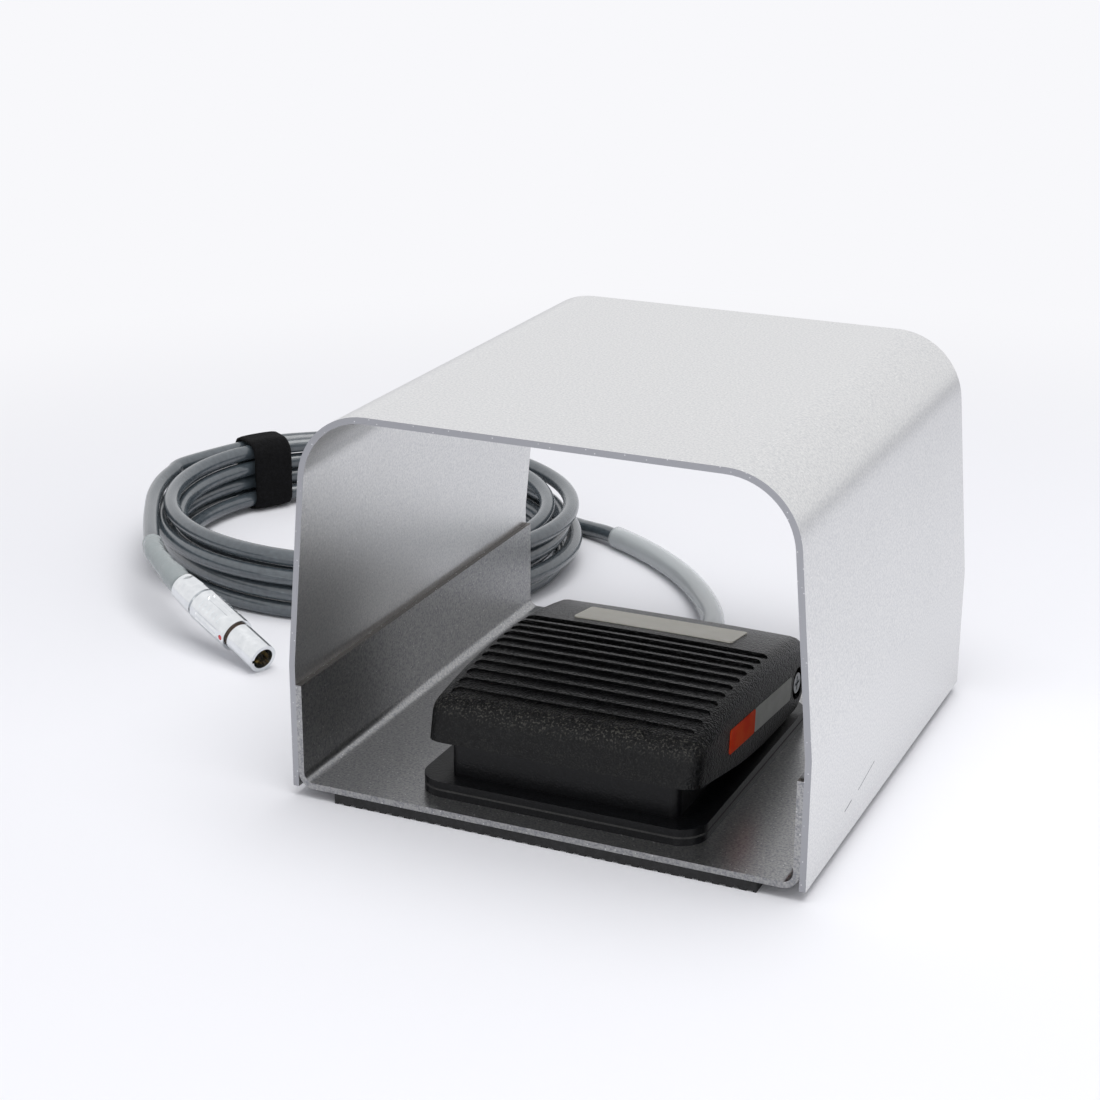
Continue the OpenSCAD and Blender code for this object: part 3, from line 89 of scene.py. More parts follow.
# %% Path points of the lead and the coil
CABLE_D = 6.0
GLAND_END = (1.4, 31.0, 16.0)
LEAD = np.array([
    (1.4, 34, 15.9), (1.1, 42, 14.8), (-0.4, 52, 12), (-2, 62, 10.2), (-3.6, 72, 9.8), (-6, 82, 9.4),
    (-10.5, 93, 6.8), (-16.5, 105, 4.6), (-23, 116, 4.3), (-30, 127, 4.3), (-40, 139, 4.3), (-54, 149, 4.3),
    (-65, 158, 4.3), (-76, 163, 4.3), (-82, 166, 4.2), (-91, 170, 3.5), (-101, 174, 3.1)])
TAIL = np.array([
    (-246, 121, 24.1), (-246, 110, 23.5), (-243.5, 98, 22.9), (-238.5, 86, 22.4), (-232, 74.5, 22),
    (-224.5, 62.5, 22), (-216.5, 50.5, 22), (-209, 40, 21.6), (-201.5, 31.5, 20.9)])
COIL_MID = (-161.0, 115.0)
COIL_AXES = (83.0, 76.0)
COIL_START, COIL_TURNS, COIL_LAYERS = 60.0, 6.29, 4
COIL_RISE, COIL_STEP, COIL_SPREAD = 6.45, 6.8, 3.0
STRAP_AT, STRAP_LIFT = 150.0, 2.2
FLOOR_GAP = 0.05
COIL_LOW = CABLE_D / 2 + FLOOR_GAP
EVENINGS = 4
SLEEVED, SLEEVE_LOW = 15, 4.3


def coil_points(t):
    """Points of the coil after t turns, in mm. Radius: the outer ellipse less one step for each turn
    that the layer has spiralled in. Height: one rise a layer, climbed in the half turn round each change
    of direction, plus a lift under the strap."""
    angle = COIL_START + 360 * t
    per_layer = COIL_TURNS / COIL_LAYERS
    layer = t / per_layer
    phase = layer - 2 * np.floor(layer / 2)
    inset_turns = per_layer * np.where(phase < 1, phase, 2 - phase)
    near = (1 + np.cos(np.radians(angle - STRAP_AT))) / 2
    inset = inset_turns * (COIL_STEP + COIL_SPREAD * (1 - near))
    change = np.clip(np.round(layer), 1, COIL_LAYERS - 1)
    climb = np.clip((layer - change) * per_layer * 2 + 0.5, 0, 1)
    z = COIL_LOW + COIL_RISE * (change - 1 + climb) + STRAP_LIFT * near ** 4
    return np.stack([COIL_MID[0] + (COIL_AXES[0] - inset) * np.cos(np.radians(angle)),
                     COIL_MID[1] + (COIL_AXES[1] - inset) * np.sin(np.radians(angle)), z], axis=1)


def smooth_path(points, steps):
    """Catmull-Rom curve through the points: between two of them, a cubic whose slope at each point is
    half the step from the point before it to the point after it."""
    p = np.vstack([2 * points[0] - points[1], points, 2 * points[-1] - points[-2]])
    t = np.linspace(0, 1, steps, endpoint=False)[None, :, None]
    a, b, c, d = (p[i:len(p) - 3 + i][:, None, :] for i in range(4))
    curve = 0.5 * (2 * b + (c - a) * t + (2 * a - 5 * b + 4 * c - d) * t ** 2
                   + (3 * b - a - 3 * c + d) * t ** 3)
    return np.vstack([curve.reshape(-1, 3), points[-1:]])


def path_length(path):
    """Sum of the steps of a path."""
    return float(np.linalg.norm(np.diff(path, axis=0), axis=1).sum())


PLUG_HEADING, PLUG_SLOPE, PLUG_LENGTH = -23.0, 16.0, 48.0
PLUG_TIP = np.array((-137.0, -3.3, 5.0))
INTO_PLUG = 1.5
COIL_STEPS, PATH_STEPS = 24, 6
heading, slope = math.radians(PLUG_HEADING), math.radians(PLUG_SLOPE)
plug_axis = np.array((math.cos(slope) * math.cos(heading), math.cos(slope) * math.sin(heading),
                      -math.sin(slope)))
plug_rear = PLUG_TIP - PLUG_LENGTH * plug_axis
coil_arc = coil_points(np.linspace(0, COIL_TURNS, round(COIL_TURNS * COIL_STEPS) + 1))
for _ in range(EVENINGS):
    LEAD[1:-1] = (LEAD[:-2] + 2 * LEAD[1:-1] + LEAD[2:]) / 4
LEAD[:SLEEVED, 2] = np.maximum(LEAD[:SLEEVED, 2], SLEEVE_LOW)
cable_points = np.vstack([[GLAND_END], LEAD, coil_arc[1:-1], TAIL,
                          [plug_rear + INTO_PLUG * plug_axis]])
cable_path = smooth_path(cable_points, PATH_STEPS)
print("cable length:", round(path_length(cable_path)), "mm")

# %% [markdown]
# ## Tubes along a path
# Cable, sleeve and heat-shrink are all a round profile carried along a path. At each path point the
# profile stands square to the path, and the rings are joined into one grid of quads.

# %% Surfaces from grids


def new_piece(name, points, faces):
    """A smooth shaded mesh object from an array of points in mm and a list of faces."""
    mesh = bpy.data.meshes.new(name)
    mesh.from_pydata((np.asarray(points) * MM).tolist(), [], [list(f) for f in faces])
    mesh.polygons.foreach_set("use_smooth", np.full(len(mesh.polygons), True))
    mesh.update()
    piece = bpy.data.objects.new(name, mesh)
    bpy.context.scene.collection.objects.link(piece)
    return piece


def grid_faces(rows, columns, wrap_rows=False):
    """Quads between neighbouring rows and columns of a grid of points. The columns always close into a
    ring, the rows only if wanted."""
    i = np.arange(rows if wrap_rows else rows - 1)[:, None]
    k = np.arange(columns)[None, :]
    next_i, next_k = (i + 1) % rows, (k + 1) % columns
    return np.stack([i * columns + k, i * columns + next_k, next_i * columns + next_k,
                     next_i * columns + k], axis=-1).reshape(-1, 4)


def path_frames(path):
    """Direction, level side and upper side at each path point: the direction is the step from the
    point before to the point after, and the side is its cross product with the upright."""
    ahead = np.gradient(path, axis=0)
    ahead /= np.linalg.norm(ahead, axis=1)[:, None]
    side = np.cross(ahead, (0, 0, 1.0))
    side /= np.linalg.norm(side, axis=1)[:, None]
    return ahead, side, np.cross(side, ahead)


def rings(path, radii, sides):
    """Circles of the given radii round the path points: centre + r (cos a * side + sin a * up)."""
    ahead, side, above = path_frames(path)
    a = np.linspace(0, 2 * np.pi, sides, endpoint=False)[None, :, None]
    r = np.asarray(radii, float).reshape(len(path), -1, 1)
    return path[:, None, :] + r * (np.cos(a) * side[:, None, :] + np.sin(a) * above[:, None, :])


def solid_tube(name, path, radii, sides=16):
    """Closed tube: the rings in a grid and one flat face at each end."""
    grid = rings(path, radii, sides)
    n = len(path)
    faces = [list(f) for f in grid_faces(n, sides)]
    faces += [list(range(sides - 1, -1, -1)), list(range((n - 1) * sides, n * sides))]
    return new_piece(name, grid.reshape(-1, 3), faces)


def hollow_tube(name, path, radii, bore_radii, sides):
    """Hose: outer rings forwards, bore rings backwards, wrapped into one closed grid."""
    outer = rings(path, radii, sides)
    bore = rings(path, bore_radii, sides)[::-1]
    grid = np.concatenate([outer, bore])
    return new_piece(name, grid.reshape(-1, 3), grid_faces(len(grid), sides, wrap_rows=True))


cable = solid_tube("cable", cable_path, np.full(len(cable_path), CABLE_D / 2))
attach(cable, "guard")
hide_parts("pedal_cord", "cord_coil", "plug_cord")
print("cable faces:", len(cable.data.polygons))

# %% [markdown]
# ## Sleeve and heat-shrink
# Near the pedal a clear soft tube protects the cable, a little wider than it. At the connector the cable
# goes into clear heat-shrink, which has shrunk in uneven waves and widens towards the connector's rear.
# Waves: two sines of the share of the length and of the angle round the tube, multiplied.

# %% Sleeve and heat-shrink
SLEEVE_D, SLEEVE_BORE, SLEEVE_SIDES = 8.5, 6.8, 24
SLEEVE_STEPS, SLEEVE_CUT = 8, 5
sleeve_path = smooth_path(LEAD[:SLEEVED], SLEEVE_STEPS)[:-SLEEVE_CUT]
sleeve = hollow_tube("cable_sleeve", sleeve_path, np.full(len(sleeve_path), SLEEVE_D / 2),
                     np.full(len(sleeve_path), SLEEVE_BORE / 2), SLEEVE_SIDES)
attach(sleeve, "guard")
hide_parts("cord_sleeve")

SHRINK_D, SHRINK_FLARE, SHRINK_BORE, SHRINK_SIDES = 7.5, 1.6, 6.7, 28
FLARE_FROM, FLARE_OVER, WAVE_HEIGHT = 0.55, 0.3, 0.16
SHRINK_STEPS, SHRINK_GAP = 24, 0.05
shrink_path = smooth_path(np.vstack([TAIL[-2:], plug_rear - SHRINK_GAP * plug_axis]), SHRINK_STEPS)
share = np.linspace(0, 1, len(shrink_path))[:, None]
around = np.linspace(0, 2 * np.pi, SHRINK_SIDES, endpoint=False)[None, :]
flare = SHRINK_D + SHRINK_FLARE * np.clip((share - FLARE_FROM) / FLARE_OVER, 0, 1) ** 2
waves = WAVE_HEIGHT * (np.sin(share * 31 + 1.5 * np.sin(around))
                       * np.sin(2 * around + share * 9) ** 2)
shrink = hollow_tube("shrink_tube", shrink_path, flare / 2 + waves,
                     np.full((len(shrink_path), SHRINK_SIDES), SHRINK_BORE / 2), SHRINK_SIDES)
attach(shrink, "guard")
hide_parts("heat_shrink")
print("sleeve length:", round(path_length(sleeve_path)), "mm")
print("heat-shrink length:", round(path_length(shrink_path)), "mm")

# %% [markdown]
# ## Strap
# A hook-and-loop strap holds the coil together at its back left. It is a closed band round the bundle:
# its outline is a rectangle with round corners. A few small waves, thinner edges and a slightly uneven
# width keep it from looking like metal.

# %% Strap
STRAP_TURNS, STRAP_W, STRAP_T = 1.3, 16.0, 1.5
STRAP_GAP, STRAP_GAP_Z, STRAP_SLACK, STRAP_THINNER = 1.0, 0.5, 0.1, 0.15
STRAP_CORNER_IN, STRAP_CORNER_OUT = 5.0, 6.4
STRAP_POINTS, STRAP_ROWS, CORNER_POINTS = 121, 15, 24


def rounded_loop(half_x, half_y, r, count):
    """Points round a rectangle with round corners, evenly spaced along its outline, from the middle of
    its upper side; between the outline's own corners the points are interpolated by the length run."""
    a = np.linspace(0, np.pi / 2, CORNER_POINTS)
    corners = [(half_x - r, half_y - r, np.pi / 2 - a), (half_x - r, -half_y + r, -a),
               (-half_x + r, -half_y + r, -np.pi / 2 - a), (-half_x + r, half_y - r, np.pi - a)]
    outline = np.vstack([[(0, half_y)]] + [np.stack([x + r * np.cos(b), y + r * np.sin(b)], axis=1)
                                          for x, y, b in corners] + [[(0, half_y)]])
    run = np.concatenate([[0], np.cumsum(np.linalg.norm(np.diff(outline, axis=0), axis=1))])
    at = np.linspace(0, run[-1], count)
    return np.stack([np.interp(at, run, outline[:, k]) for k in (0, 1)], axis=1), at


half_x = (STRAP_TURNS * COIL_STEP + CABLE_D) / 2 + STRAP_GAP
half_y = ((COIL_LAYERS - 1) * COIL_RISE + CABLE_D) / 2 + STRAP_GAP_Z
strap_inset = STRAP_TURNS * COIL_STEP / 2
strap_angle = math.radians(STRAP_AT)
strap_mid = np.array([COIL_MID[0] + (COIL_AXES[0] - strap_inset) * math.cos(strap_angle),
                      COIL_MID[1] + (COIL_AXES[1] - strap_inset) * math.sin(strap_angle),
                      COIL_LOW + STRAP_LIFT - CABLE_D / 2 + half_y - STRAP_GAP_Z])
strap_ahead = np.array([-COIL_AXES[0] * math.sin(strap_angle), COIL_AXES[1] * math.cos(strap_angle), 0])
strap_ahead /= np.linalg.norm(strap_ahead)
strap_out = np.cross(strap_ahead, (0, 0, 1.0))
inner, run = rounded_loop(half_x + STRAP_SLACK, half_y + STRAP_SLACK, STRAP_CORNER_IN, STRAP_POINTS)
band_t = STRAP_T - STRAP_THINNER
outer, _ = rounded_loop(half_x + band_t, half_y + band_t, STRAP_CORNER_OUT, STRAP_POINTS)
across = np.linspace(-1, 1, STRAP_ROWS)
wave = 0.12 * np.sin(run / 2.3)[:, None] * np.cos(across * 2)[None, :]
edge = (1 - 0.25 * np.abs(across) ** 6)[None, :]
outer_grid = inner[:, None, :] + (outer - inner)[:, None, :] * (edge + wave)[:, :, None]
inner_grid = np.repeat(inner[:, None, :], STRAP_ROWS, axis=1)
width = (across * STRAP_W / 2)[None, :] * (1 + 0.012 * np.sin(run / 3.1))[:, None]


def strap_space(flat, wide):
    """From the strap's own plane (across the bundle, upwards, along the cable) to the frame."""
    return (strap_mid + flat[..., :1] * strap_out + flat[..., 1:] * np.array([0, 0, 1.0])
            + wide[..., None] * strap_ahead)


band = np.concatenate([strap_space(outer_grid, width), strap_space(inner_grid, width)[:, ::-1]],
                      axis=1)[:-1]
strap = new_piece("cord_strap_band", band.reshape(-1, 3),
                  grid_faces(*band.shape[:2], wrap_rows=True)[:, ::-1])
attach(strap, "guard")
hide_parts("cord_strap")
print("strap round:", round(float(run[-1])), "mm")

# %% [markdown]
# ## Return springs
# Two coil springs stand under the toe. A helix is a circle that rises evenly, and a thin round wire is
# carried along it. Pressing the treadle shortens them.

# %% Springs
SPRING_PLACES = ((-13.6, -48.0), (16.4, -48.0))
SPRING_R, WIRE_D, SPRING_LOW, SPRING_HIGH, SPRING_TURNS = 3.5, 1.0, 15.05, 33.1, 6
TURN_STEPS, WIRE_SIDES = 28, 10
turns = np.linspace(0, 2 * np.pi * SPRING_TURNS, SPRING_TURNS * TURN_STEPS + 1)
spring_parts = []
for x, y in SPRING_PLACES:
    helix = np.stack([x + SPRING_R * np.cos(turns), y + SPRING_R * np.sin(turns),
                      SPRING_LOW + (SPRING_HIGH - SPRING_LOW) * turns / turns[-1]], axis=1)
    spring_parts.append(rings(helix, np.full(len(helix), WIRE_D / 2), WIRE_SIDES))
each = len(turns) * WIRE_SIDES
spring_faces = [list(f) for k in (0, 1) for f in grid_faces(len(turns), WIRE_SIDES) + k * each]
spring_faces += [[k * each + i for i in range(WIRE_SIDES - 1, -1, -1)] for k in (0, 1)]
spring_faces += [[(k + 1) * each - WIRE_SIDES + i for i in range(WIRE_SIDES)] for k in (0, 1)]
springs = new_piece("spring_pair", np.concatenate(spring_parts).reshape(-1, 3), spring_faces)
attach(springs, "guard")
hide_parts("return_springs")
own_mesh(springs)

# %% [markdown]
# ## Smooth shading for the frame's parts
# The frame's meshes are loose triangles. A small geometry node tree merges their corners, shades them
# smooth, and keeps every edge sharp that turns by more than a set angle, so round corners look round
# while folded and cut edges stay crisp. The meshes themselves are left alone.

# %% Smooth by angle
SHARP_OVER, MERGE_WITHIN = 30, 2e-6


def smooth_by_angle(limit_deg):
    """Merge corners closer than MERGE_WITHIN, smooth every face, sharpen edges over the limit."""
    tree = bpy.data.node_groups.new("smooth_by_angle", "GeometryNodeTree")
    tree.interface.new_socket("Geometry", in_out="INPUT", socket_type="NodeSocketGeometry")
    tree.interface.new_socket("Geometry", in_out="OUTPUT", socket_type="NodeSocketGeometry")
    first, last = tree.nodes.new("NodeGroupInput"), tree.nodes.new("NodeGroupOutput")
    merge = tree.nodes.new("GeometryNodeMergeByDistance")
    merge.inputs["Distance"].default_value = MERGE_WITHIN
    faces, edges = (tree.nodes.new("GeometryNodeSetShadeSmooth") for _ in range(2))
    edges.domain = "EDGE"
    edges.inputs["Shade Smooth"].default_value = False
    angle = tree.nodes.new("GeometryNodeInputMeshEdgeAngle")
    over = tree.nodes.new("FunctionNodeCompare")
    over.operation = "GREATER_THAN"
    over.inputs["B"].default_value = math.radians(limit_deg)
    for a, b in ((first.outputs[0], merge.inputs["Geometry"]),
                 (merge.outputs[0], faces.inputs["Geometry"]),
                 (faces.outputs[0], edges.inputs["Geometry"]),
                 (angle.outputs["Unsigned Angle"], over.inputs["A"]),
                 (over.outputs[0], edges.inputs["Selection"]),
                 (edges.outputs[0], last.inputs[0])):
        tree.links.new(a, b)
    return tree


shading = smooth_by_angle(SHARP_OVER)
for one in nodes.values():
    modifier = one.modifiers.new("smooth_by_angle", "NODES")
    modifier.node_group = shading
print("smoothed parts:", len(nodes))

# %% [markdown]
# ## Finishes
# Every finish is a small node tree. One function turns sRGB hex values into the linear values that the
# renderer works with, and one adds a node.

# %% Helpers for materials


def linear(hex_colour, alpha=1.0):
    """sRGB hex to linear RGBA: divide by 12.92 in the dark, otherwise the 2.4 power curve."""
    s = np.array([int(hex_colour[i:i + 2], 16) / 255 for i in (1, 3, 5)])
    values = np.where(s <= 0.04045, s / 12.92, ((s + 0.055) / 1.055) ** 2.4)
    return (*values.tolist(), alpha)


def add(owner, kind, inputs=None, **settings):
    """Adds a node to a material or a world, sets its properties, and sets or links its inputs."""
    one = owner.node_tree.nodes.new(kind)
    for name, value in settings.items():
        setattr(one, name, value)
    for name, value in (inputs or {}).items():
        if isinstance(value, bpy.types.NodeSocket):
            owner.node_tree.links.new(value, one.inputs[name])
        else:
            one.inputs[name].default_value = value
    return one


def new_material(name):
    """An empty node material with its output node and object coordinates."""
    material = bpy.data.materials.new(name)
    material.use_nodes = True
    material.node_tree.nodes.clear()
    output = add(material, "ShaderNodeOutputMaterial")
    return material, output, add(material, "ShaderNodeTexCoord").outputs["Object"]


def ramp(material, factor, stops):
    """Fills a colour ramp's stops, given as (position, colour)."""
    one = add(material, "ShaderNodeValToRGB", {"Fac": factor})
    while len(one.color_ramp.elements) < len(stops):
        one.color_ramp.elements.new(0.5)
    for element, (position, colour) in zip(one.color_ramp.elements, stops):
        element.position, element.color = position, colour
    return one.outputs["Color"]


def close_material(material, output, shader):
    """Links the shader to the output and hands the material back."""
    material.node_tree.links.new(shader.outputs[0], output.inputs["Surface"])
    return material


# %% [markdown]
# ### Silver-grey powder coat
# Hood and tray are folded steel with a silver powder coat: a grey film with fine metallic flakes, each
# well under half a millimetre. The flakes are painted as pale dots, a painted sparkle, and the film's
# slight orange peel softens reflections. The sheets' cut edges are painted darker as painted shade, and the
# tray has a darker copy of the coat, painted shade for the hood over it. Low on the right wall are two
# scratches.

# %% Powder coat
SPECKLE_SCALE, FLAKE_SCALE, PEEL_SCALE, CLOUD_SCALE = 1400, 620, 900, 22
PEEL_DEPTH, RIGHT_FACE = 0.0003, 0.079
SCRATCH_GREY, FLAKE_GLINT_WHITE = "#6c6d70", "#ffffff"


def scratch(m, place, middle_mm, tilt_deg, length_mm, width_mm):
    """1 within a thin stroke on the right wall, 0 elsewhere: the point is moved to the stroke's middle
    and turned level, and then compared with half its length and half its width."""
    local = add(m, "ShaderNodeMapping", {"Vector": place, "Location": Vector((0, *middle_mm)) * MM,
                                         "Rotation": (math.radians(tilt_deg), 0, 0)},
                vector_type="TEXTURE")
    axes = add(m, "ShaderNodeSeparateXYZ", {"Vector": local.outputs["Vector"]})
    along = add(m, "ShaderNodeMath", {0: axes.outputs["Y"], 1: 0.0, 2: length_mm / 2 * MM},
                operation="COMPARE")
    near = add(m, "ShaderNodeMath", {0: axes.outputs["Z"], 1: 0.0, 2: width_mm / 2 * MM},
               operation="COMPARE")
    both = add(m, "ShaderNodeMath", {0: along.outputs[0], 1: near.outputs[0]}, operation="MULTIPLY")
    outside = add(m, "ShaderNodeMath", {0: axes.outputs["X"], 1: RIGHT_FACE}, operation="GREATER_THAN")
    return add(m, "ShaderNodeMath", {0: both.outputs[0], 1: outside.outputs[0]},
               operation="MULTIPLY").outputs[0]


def mix_colour(m, share, under, over_it):
    """over_it laid on under by a share."""
    one = add(m, "ShaderNodeMix", {"Factor": share}, data_type="RGBA")
    for socket, value in (("A", under), ("B", over_it)):
        found = [i for i in one.inputs if i.name == socket and i.type == "RGBA"][0]
        if isinstance(value, bpy.types.NodeSocket):
            m.node_tree.links.new(value, found)
        else:
            found.default_value = value
    return [o for o in one.outputs if o.type == "RGBA"][0]


def powder_coat(name, dark, base, edge, edge_axis, edge_at, scratches=()):
    """Fine two-tone speckle, sparse flakes painted as pale dots for a painted sparkle, and orange peel in
    the bump. The cut edge of the sheet, past a place along one axis, is painted darker as painted shade:
    above it if the place is positive, else below."""
    m, output, place = new_material(name)
    speckle = add(m, "ShaderNodeTexNoise", {"Vector": place, "Scale": SPECKLE_SCALE, "Detail": 2,
                                            "Roughness": 0.7})
    film = ramp(m, speckle.outputs["Fac"], [(0.36, linear(dark)), (0.6, linear(base))])
    flakes = add(m, "ShaderNodeTexVoronoi", {"Vector": place, "Scale": FLAKE_SCALE,
                                              "Randomness": 1.0})
    flake_glint = add(m, "ShaderNodeMapRange", {"Value": flakes.outputs["Distance"], "From Min": 0.15,
                                           "From Max": 0.07, "To Max": 0.55})
    axes = add(m, "ShaderNodeSeparateXYZ", {"Vector": place})
    past = add(m, "ShaderNodeMath", {0: axes.outputs[edge_axis], 1: edge_at},
               operation="GREATER_THAN" if edge_at > 0 else "LESS_THAN")
    colour = mix_colour(m, past.outputs[0], film, linear(edge))
    for one in scratches:
        colour = mix_colour(m, scratch(m, place, *one), colour, linear(SCRATCH_GREY))
    colour = mix_colour(m, flake_glint.outputs["Result"], colour, linear(FLAKE_GLINT_WHITE))
    peel = add(m, "ShaderNodeTexNoise", {"Vector": place, "Scale": PEEL_SCALE, "Detail": 2})
    bump = add(m, "ShaderNodeBump", {"Height": peel.outputs["Fac"], "Strength": 0.1,
                                     "Distance": PEEL_DEPTH})
    cloud = add(m, "ShaderNodeTexNoise", {"Vector": place, "Scale": CLOUD_SCALE, "Detail": 4})
    rough = add(m, "ShaderNodeMapRange", {"Value": cloud.outputs["Fac"], "To Min": 0.26, "To Max": 0.33})
    matte = add(m, "ShaderNodeMapRange", {"Value": flake_glint.outputs["Result"], "To Min": 0.92,
                                          "To Max": 0.35})
    shader = add(m, "ShaderNodeBsdfPrincipled", {"Base Color": colour, "Metallic": matte.outputs["Result"],
                                                 "Roughness": rough.outputs["Result"],
                                                 "Normal": bump.outputs["Normal"]})
    return close_material(m, output, shader)


SCRATCHES = [((-25.5, 14.6), 9, 16, 0.4), ((-43.0, 12.6), 7, 6.6, 0.5)]
# The edge colours are painted shade: the hood's front cut edge, which faces away from the top light, and
# the tray's top edge in the crease inside the hood.
HOOD_FRONT, TRAY_TOP = -0.08045, 0.03597
hood_paint = powder_coat("silver_powder_coat", "#cacbcc", "#dededd", "#a2a3a7", "Y", HOOD_FRONT,
                         SCRATCHES)
# The tray's coat is a darker copy of the hood's silver coat, painted shade for the hood over it.
tray_paint_shaded = powder_coat("tray_powder_coat_painted_shade", "#85868a", "#a9a9a8", "#3d3732", "Z", TRAY_TOP)

# %% [markdown]
# ### Moulded black plastic
# Treadle and base are injection moulded in black with a spark-eroded grain, rounded pebbles of about
# half a millimetre. The grain breaks the gloss into sparkle, and the toe's upper edge is painted pale:
# partly rubbed wear, partly a painted highlight and sparkle.
# Rubber, cable jacket and strap use the same tree with other sizes.

# %% Moulded and rubber finishes


def toe_wear_and_highlight(m, place, tone):
    """Pebble tops painted pale, partly as rubbed wear and partly as a painted highlight and sparkle: many
    along the toe's upper edge, where y < -60 mm and z > 31 mm, and a few all over. A fine noise picks the
    pebbles, and the share laid on is high only in that band."""
    axes = add(m, "ShaderNodeSeparateXYZ", {"Vector": place})
    front = add(m, "ShaderNodeMapRange", {"Value": axes.outputs["Y"], "From Min": -0.058,
                                          "From Max": -0.063})
    high = add(m, "ShaderNodeMapRange", {"Value": axes.outputs["Z"], "From Min": 0.0285,
                                         "From Max": 0.0325, "To Min": 0.0, "To Max": 0.3})
    band = add(m, "ShaderNodeMath", {0: front.outputs["Result"], 1: high.outputs["Result"], 2: 0.035},
               operation="MULTIPLY_ADD")
    fine = add(m, "ShaderNodeTexNoise", {"Vector": place, "Scale": 1500, "Detail": 1})
    picked = add(m, "ShaderNodeMapRange", {"Value": fine.outputs["Fac"], "From Min": 0.55,
                                           "From Max": 0.66})
    share = add(m, "ShaderNodeMath", {0: band.outputs[0], 1: picked.outputs["Result"]},
                operation="MULTIPLY")
    return mix_colour(m, share.outputs[0], tone, linear("#7c7a72"))


def grained(name, colour, worn, grain_mm, depth_mm, roughness, gloss=0.5, toe=False, coat=0.0):
    """Pebbles from cell noise as bump, a colour slightly lifted on their tops."""
    m, output, place = new_material(name)
    cells = add(m, "ShaderNodeTexVoronoi", {"Vector": place, "Scale": 1000 / grain_mm,
                                            "Randomness": 1.0})
    soft = add(m, "ShaderNodeTexNoise", {"Vector": place, "Scale": 420 / grain_mm, "Detail": 3})
    height = add(m, "ShaderNodeMath", {0: cells.outputs["Distance"], 1: soft.outputs["Fac"]},
                 operation="MULTIPLY")
    bump = add(m, "ShaderNodeBump", {"Height": height.outputs[0], "Strength": 0.9,
                                     "Distance": depth_mm * MM}, invert=True)
    tone = ramp(m, soft.outputs["Fac"], [(0.35, linear(colour)), (0.75, linear(worn))])
    if toe:
        tone = toe_wear_and_highlight(m, place, tone)
    shader = add(m, "ShaderNodeBsdfPrincipled", {"Base Color": tone, "Roughness": roughness,
                                                 "Coat Weight": coat, "Specular IOR Level": gloss,
                                                 "Normal": bump.outputs["Normal"]})
    return close_material(m, output, shader)


treadle_black = grained("grained_black_abs", "#040405", "#101112", 0.6, 0.45, 0.3, 0.19, toe=True)
pedal_black = grained("black_abs", "#08080a", "#101113", 0.5, 0.08, 0.32, 0.26)
pad_rubber = grained("ribbed_rubber", "#141415", "#232325", 0.8, 0.15, 0.8)
gasket_rubber = grained("cork_rubber", "#2b2b2b", "#3a3938", 0.6, 0.1, 0.85)
gland_black = grained("nylon_black", "#17181a", "#232427", 0.4, 0.05, 0.45)
switch_plastic = grained("phenolic_black", "#1c1c20", "#26262b", 0.3, 0.03, 0.4)
rod_white = grained("acetal_white", "#e4e4e0", "#eeeeea", 0.3, 0.02, 0.4)
button_red = grained("button_red", "#b9301f", "#c43a26", 0.3, 0.02, 0.3)
wire_red = grained("wire_red_pvc", "#a83424", "#b23c2b", 0.3, 0.02, 0.35)
cable_jacket = grained("cable_jacket_pvc", "#40484e", "#4d555b", 0.9, 0.03, 0.24, 0.9, coat=0.35)
strap_loop = grained("strap_loop_nylon", "#0a0a0b", "#141416", 0.5, 0.35, 0.95, 0.15)

# %% [markdown]
# ### Metals
# The connector is satin chrome on brass, the screws zinc-plated steel, and the pins are gold-coloured
# brass. Their looks come almost only from reflections, so the base colour is close to the metal's own
# and the roughness decides.

# %% Metals


def metal(name, colour, roughness, streak_mm, depth_mm=0.01, worn=None):
    """Metal with faint turning marks: they vary the roughness, and the colour towards worn if given."""
    m, output, place = new_material(name)
    marks = add(m, "ShaderNodeTexNoise", {"Vector": place, "Scale": 1000 / streak_mm, "Detail": 3})
    rough = add(m, "ShaderNodeMapRange", {"Value": marks.outputs["Fac"], "To Min": roughness * 0.8,
                                          "To Max": roughness * 1.25})
    bump = add(m, "ShaderNodeBump", {"Height": marks.outputs["Fac"], "Strength": 0.12,
                                     "Distance": depth_mm * MM})
    tone = ramp(m, marks.outputs["Fac"], [(0.3, linear(colour)), (0.8, linear(worn or colour))])
    shader = add(m, "ShaderNodeBsdfPrincipled", {"Base Color": tone, "Metallic": 1.0,
                                                 "Roughness": rough.outputs["Result"],
                                                 "Normal": bump.outputs["Normal"]})
    return close_material(m, output, shader)


connector_chrome = metal("satin_chrome", "#dcdfe1", 0.2, 3, 0.01, "#eceeef")
steel = metal("zinc_plated_steel", "#b9bcbf", 0.32, 0.6)
weld_steel = metal("weld_bead", "#8f9091", 0.5, 0.5, 0.05)
brass = metal("brass", "#c2a05a", 0.28, 0.6)
# The latch ring's bronze is darkened as painted shade for the narrow groove it sits in.
latch_bronze_painted_shade = metal("latch_bronze_painted_shade", "#5a4d45", 0.5, 0.6)

# %% [markdown]
# ### Films and clear tubes
# The label and the two side stickers are printed films, left bare here. Sleeve and heat-shrink are clear
# soft plastic: partly see-through, so that the cable shows as a grey band, with a glossy skin.

# %% Films and clear tubes


def film(name, colour, second, roughness, gloss=0.5):
    """Thin printed film: an even colour with faint cloudiness."""
    m, output, place = new_material(name)
    cloud = add(m, "ShaderNodeTexNoise", {"Vector": place, "Scale": 160, "Detail": 3})
    tone = ramp(m, cloud.outputs["Fac"], [(0.35, linear(colour)), (0.7, linear(second))])
    shader = add(m, "ShaderNodeBsdfPrincipled", {"Base Color": tone, "Roughness": roughness,
                                                 "Specular IOR Level": gloss})
    return close_material(m, output, shader)


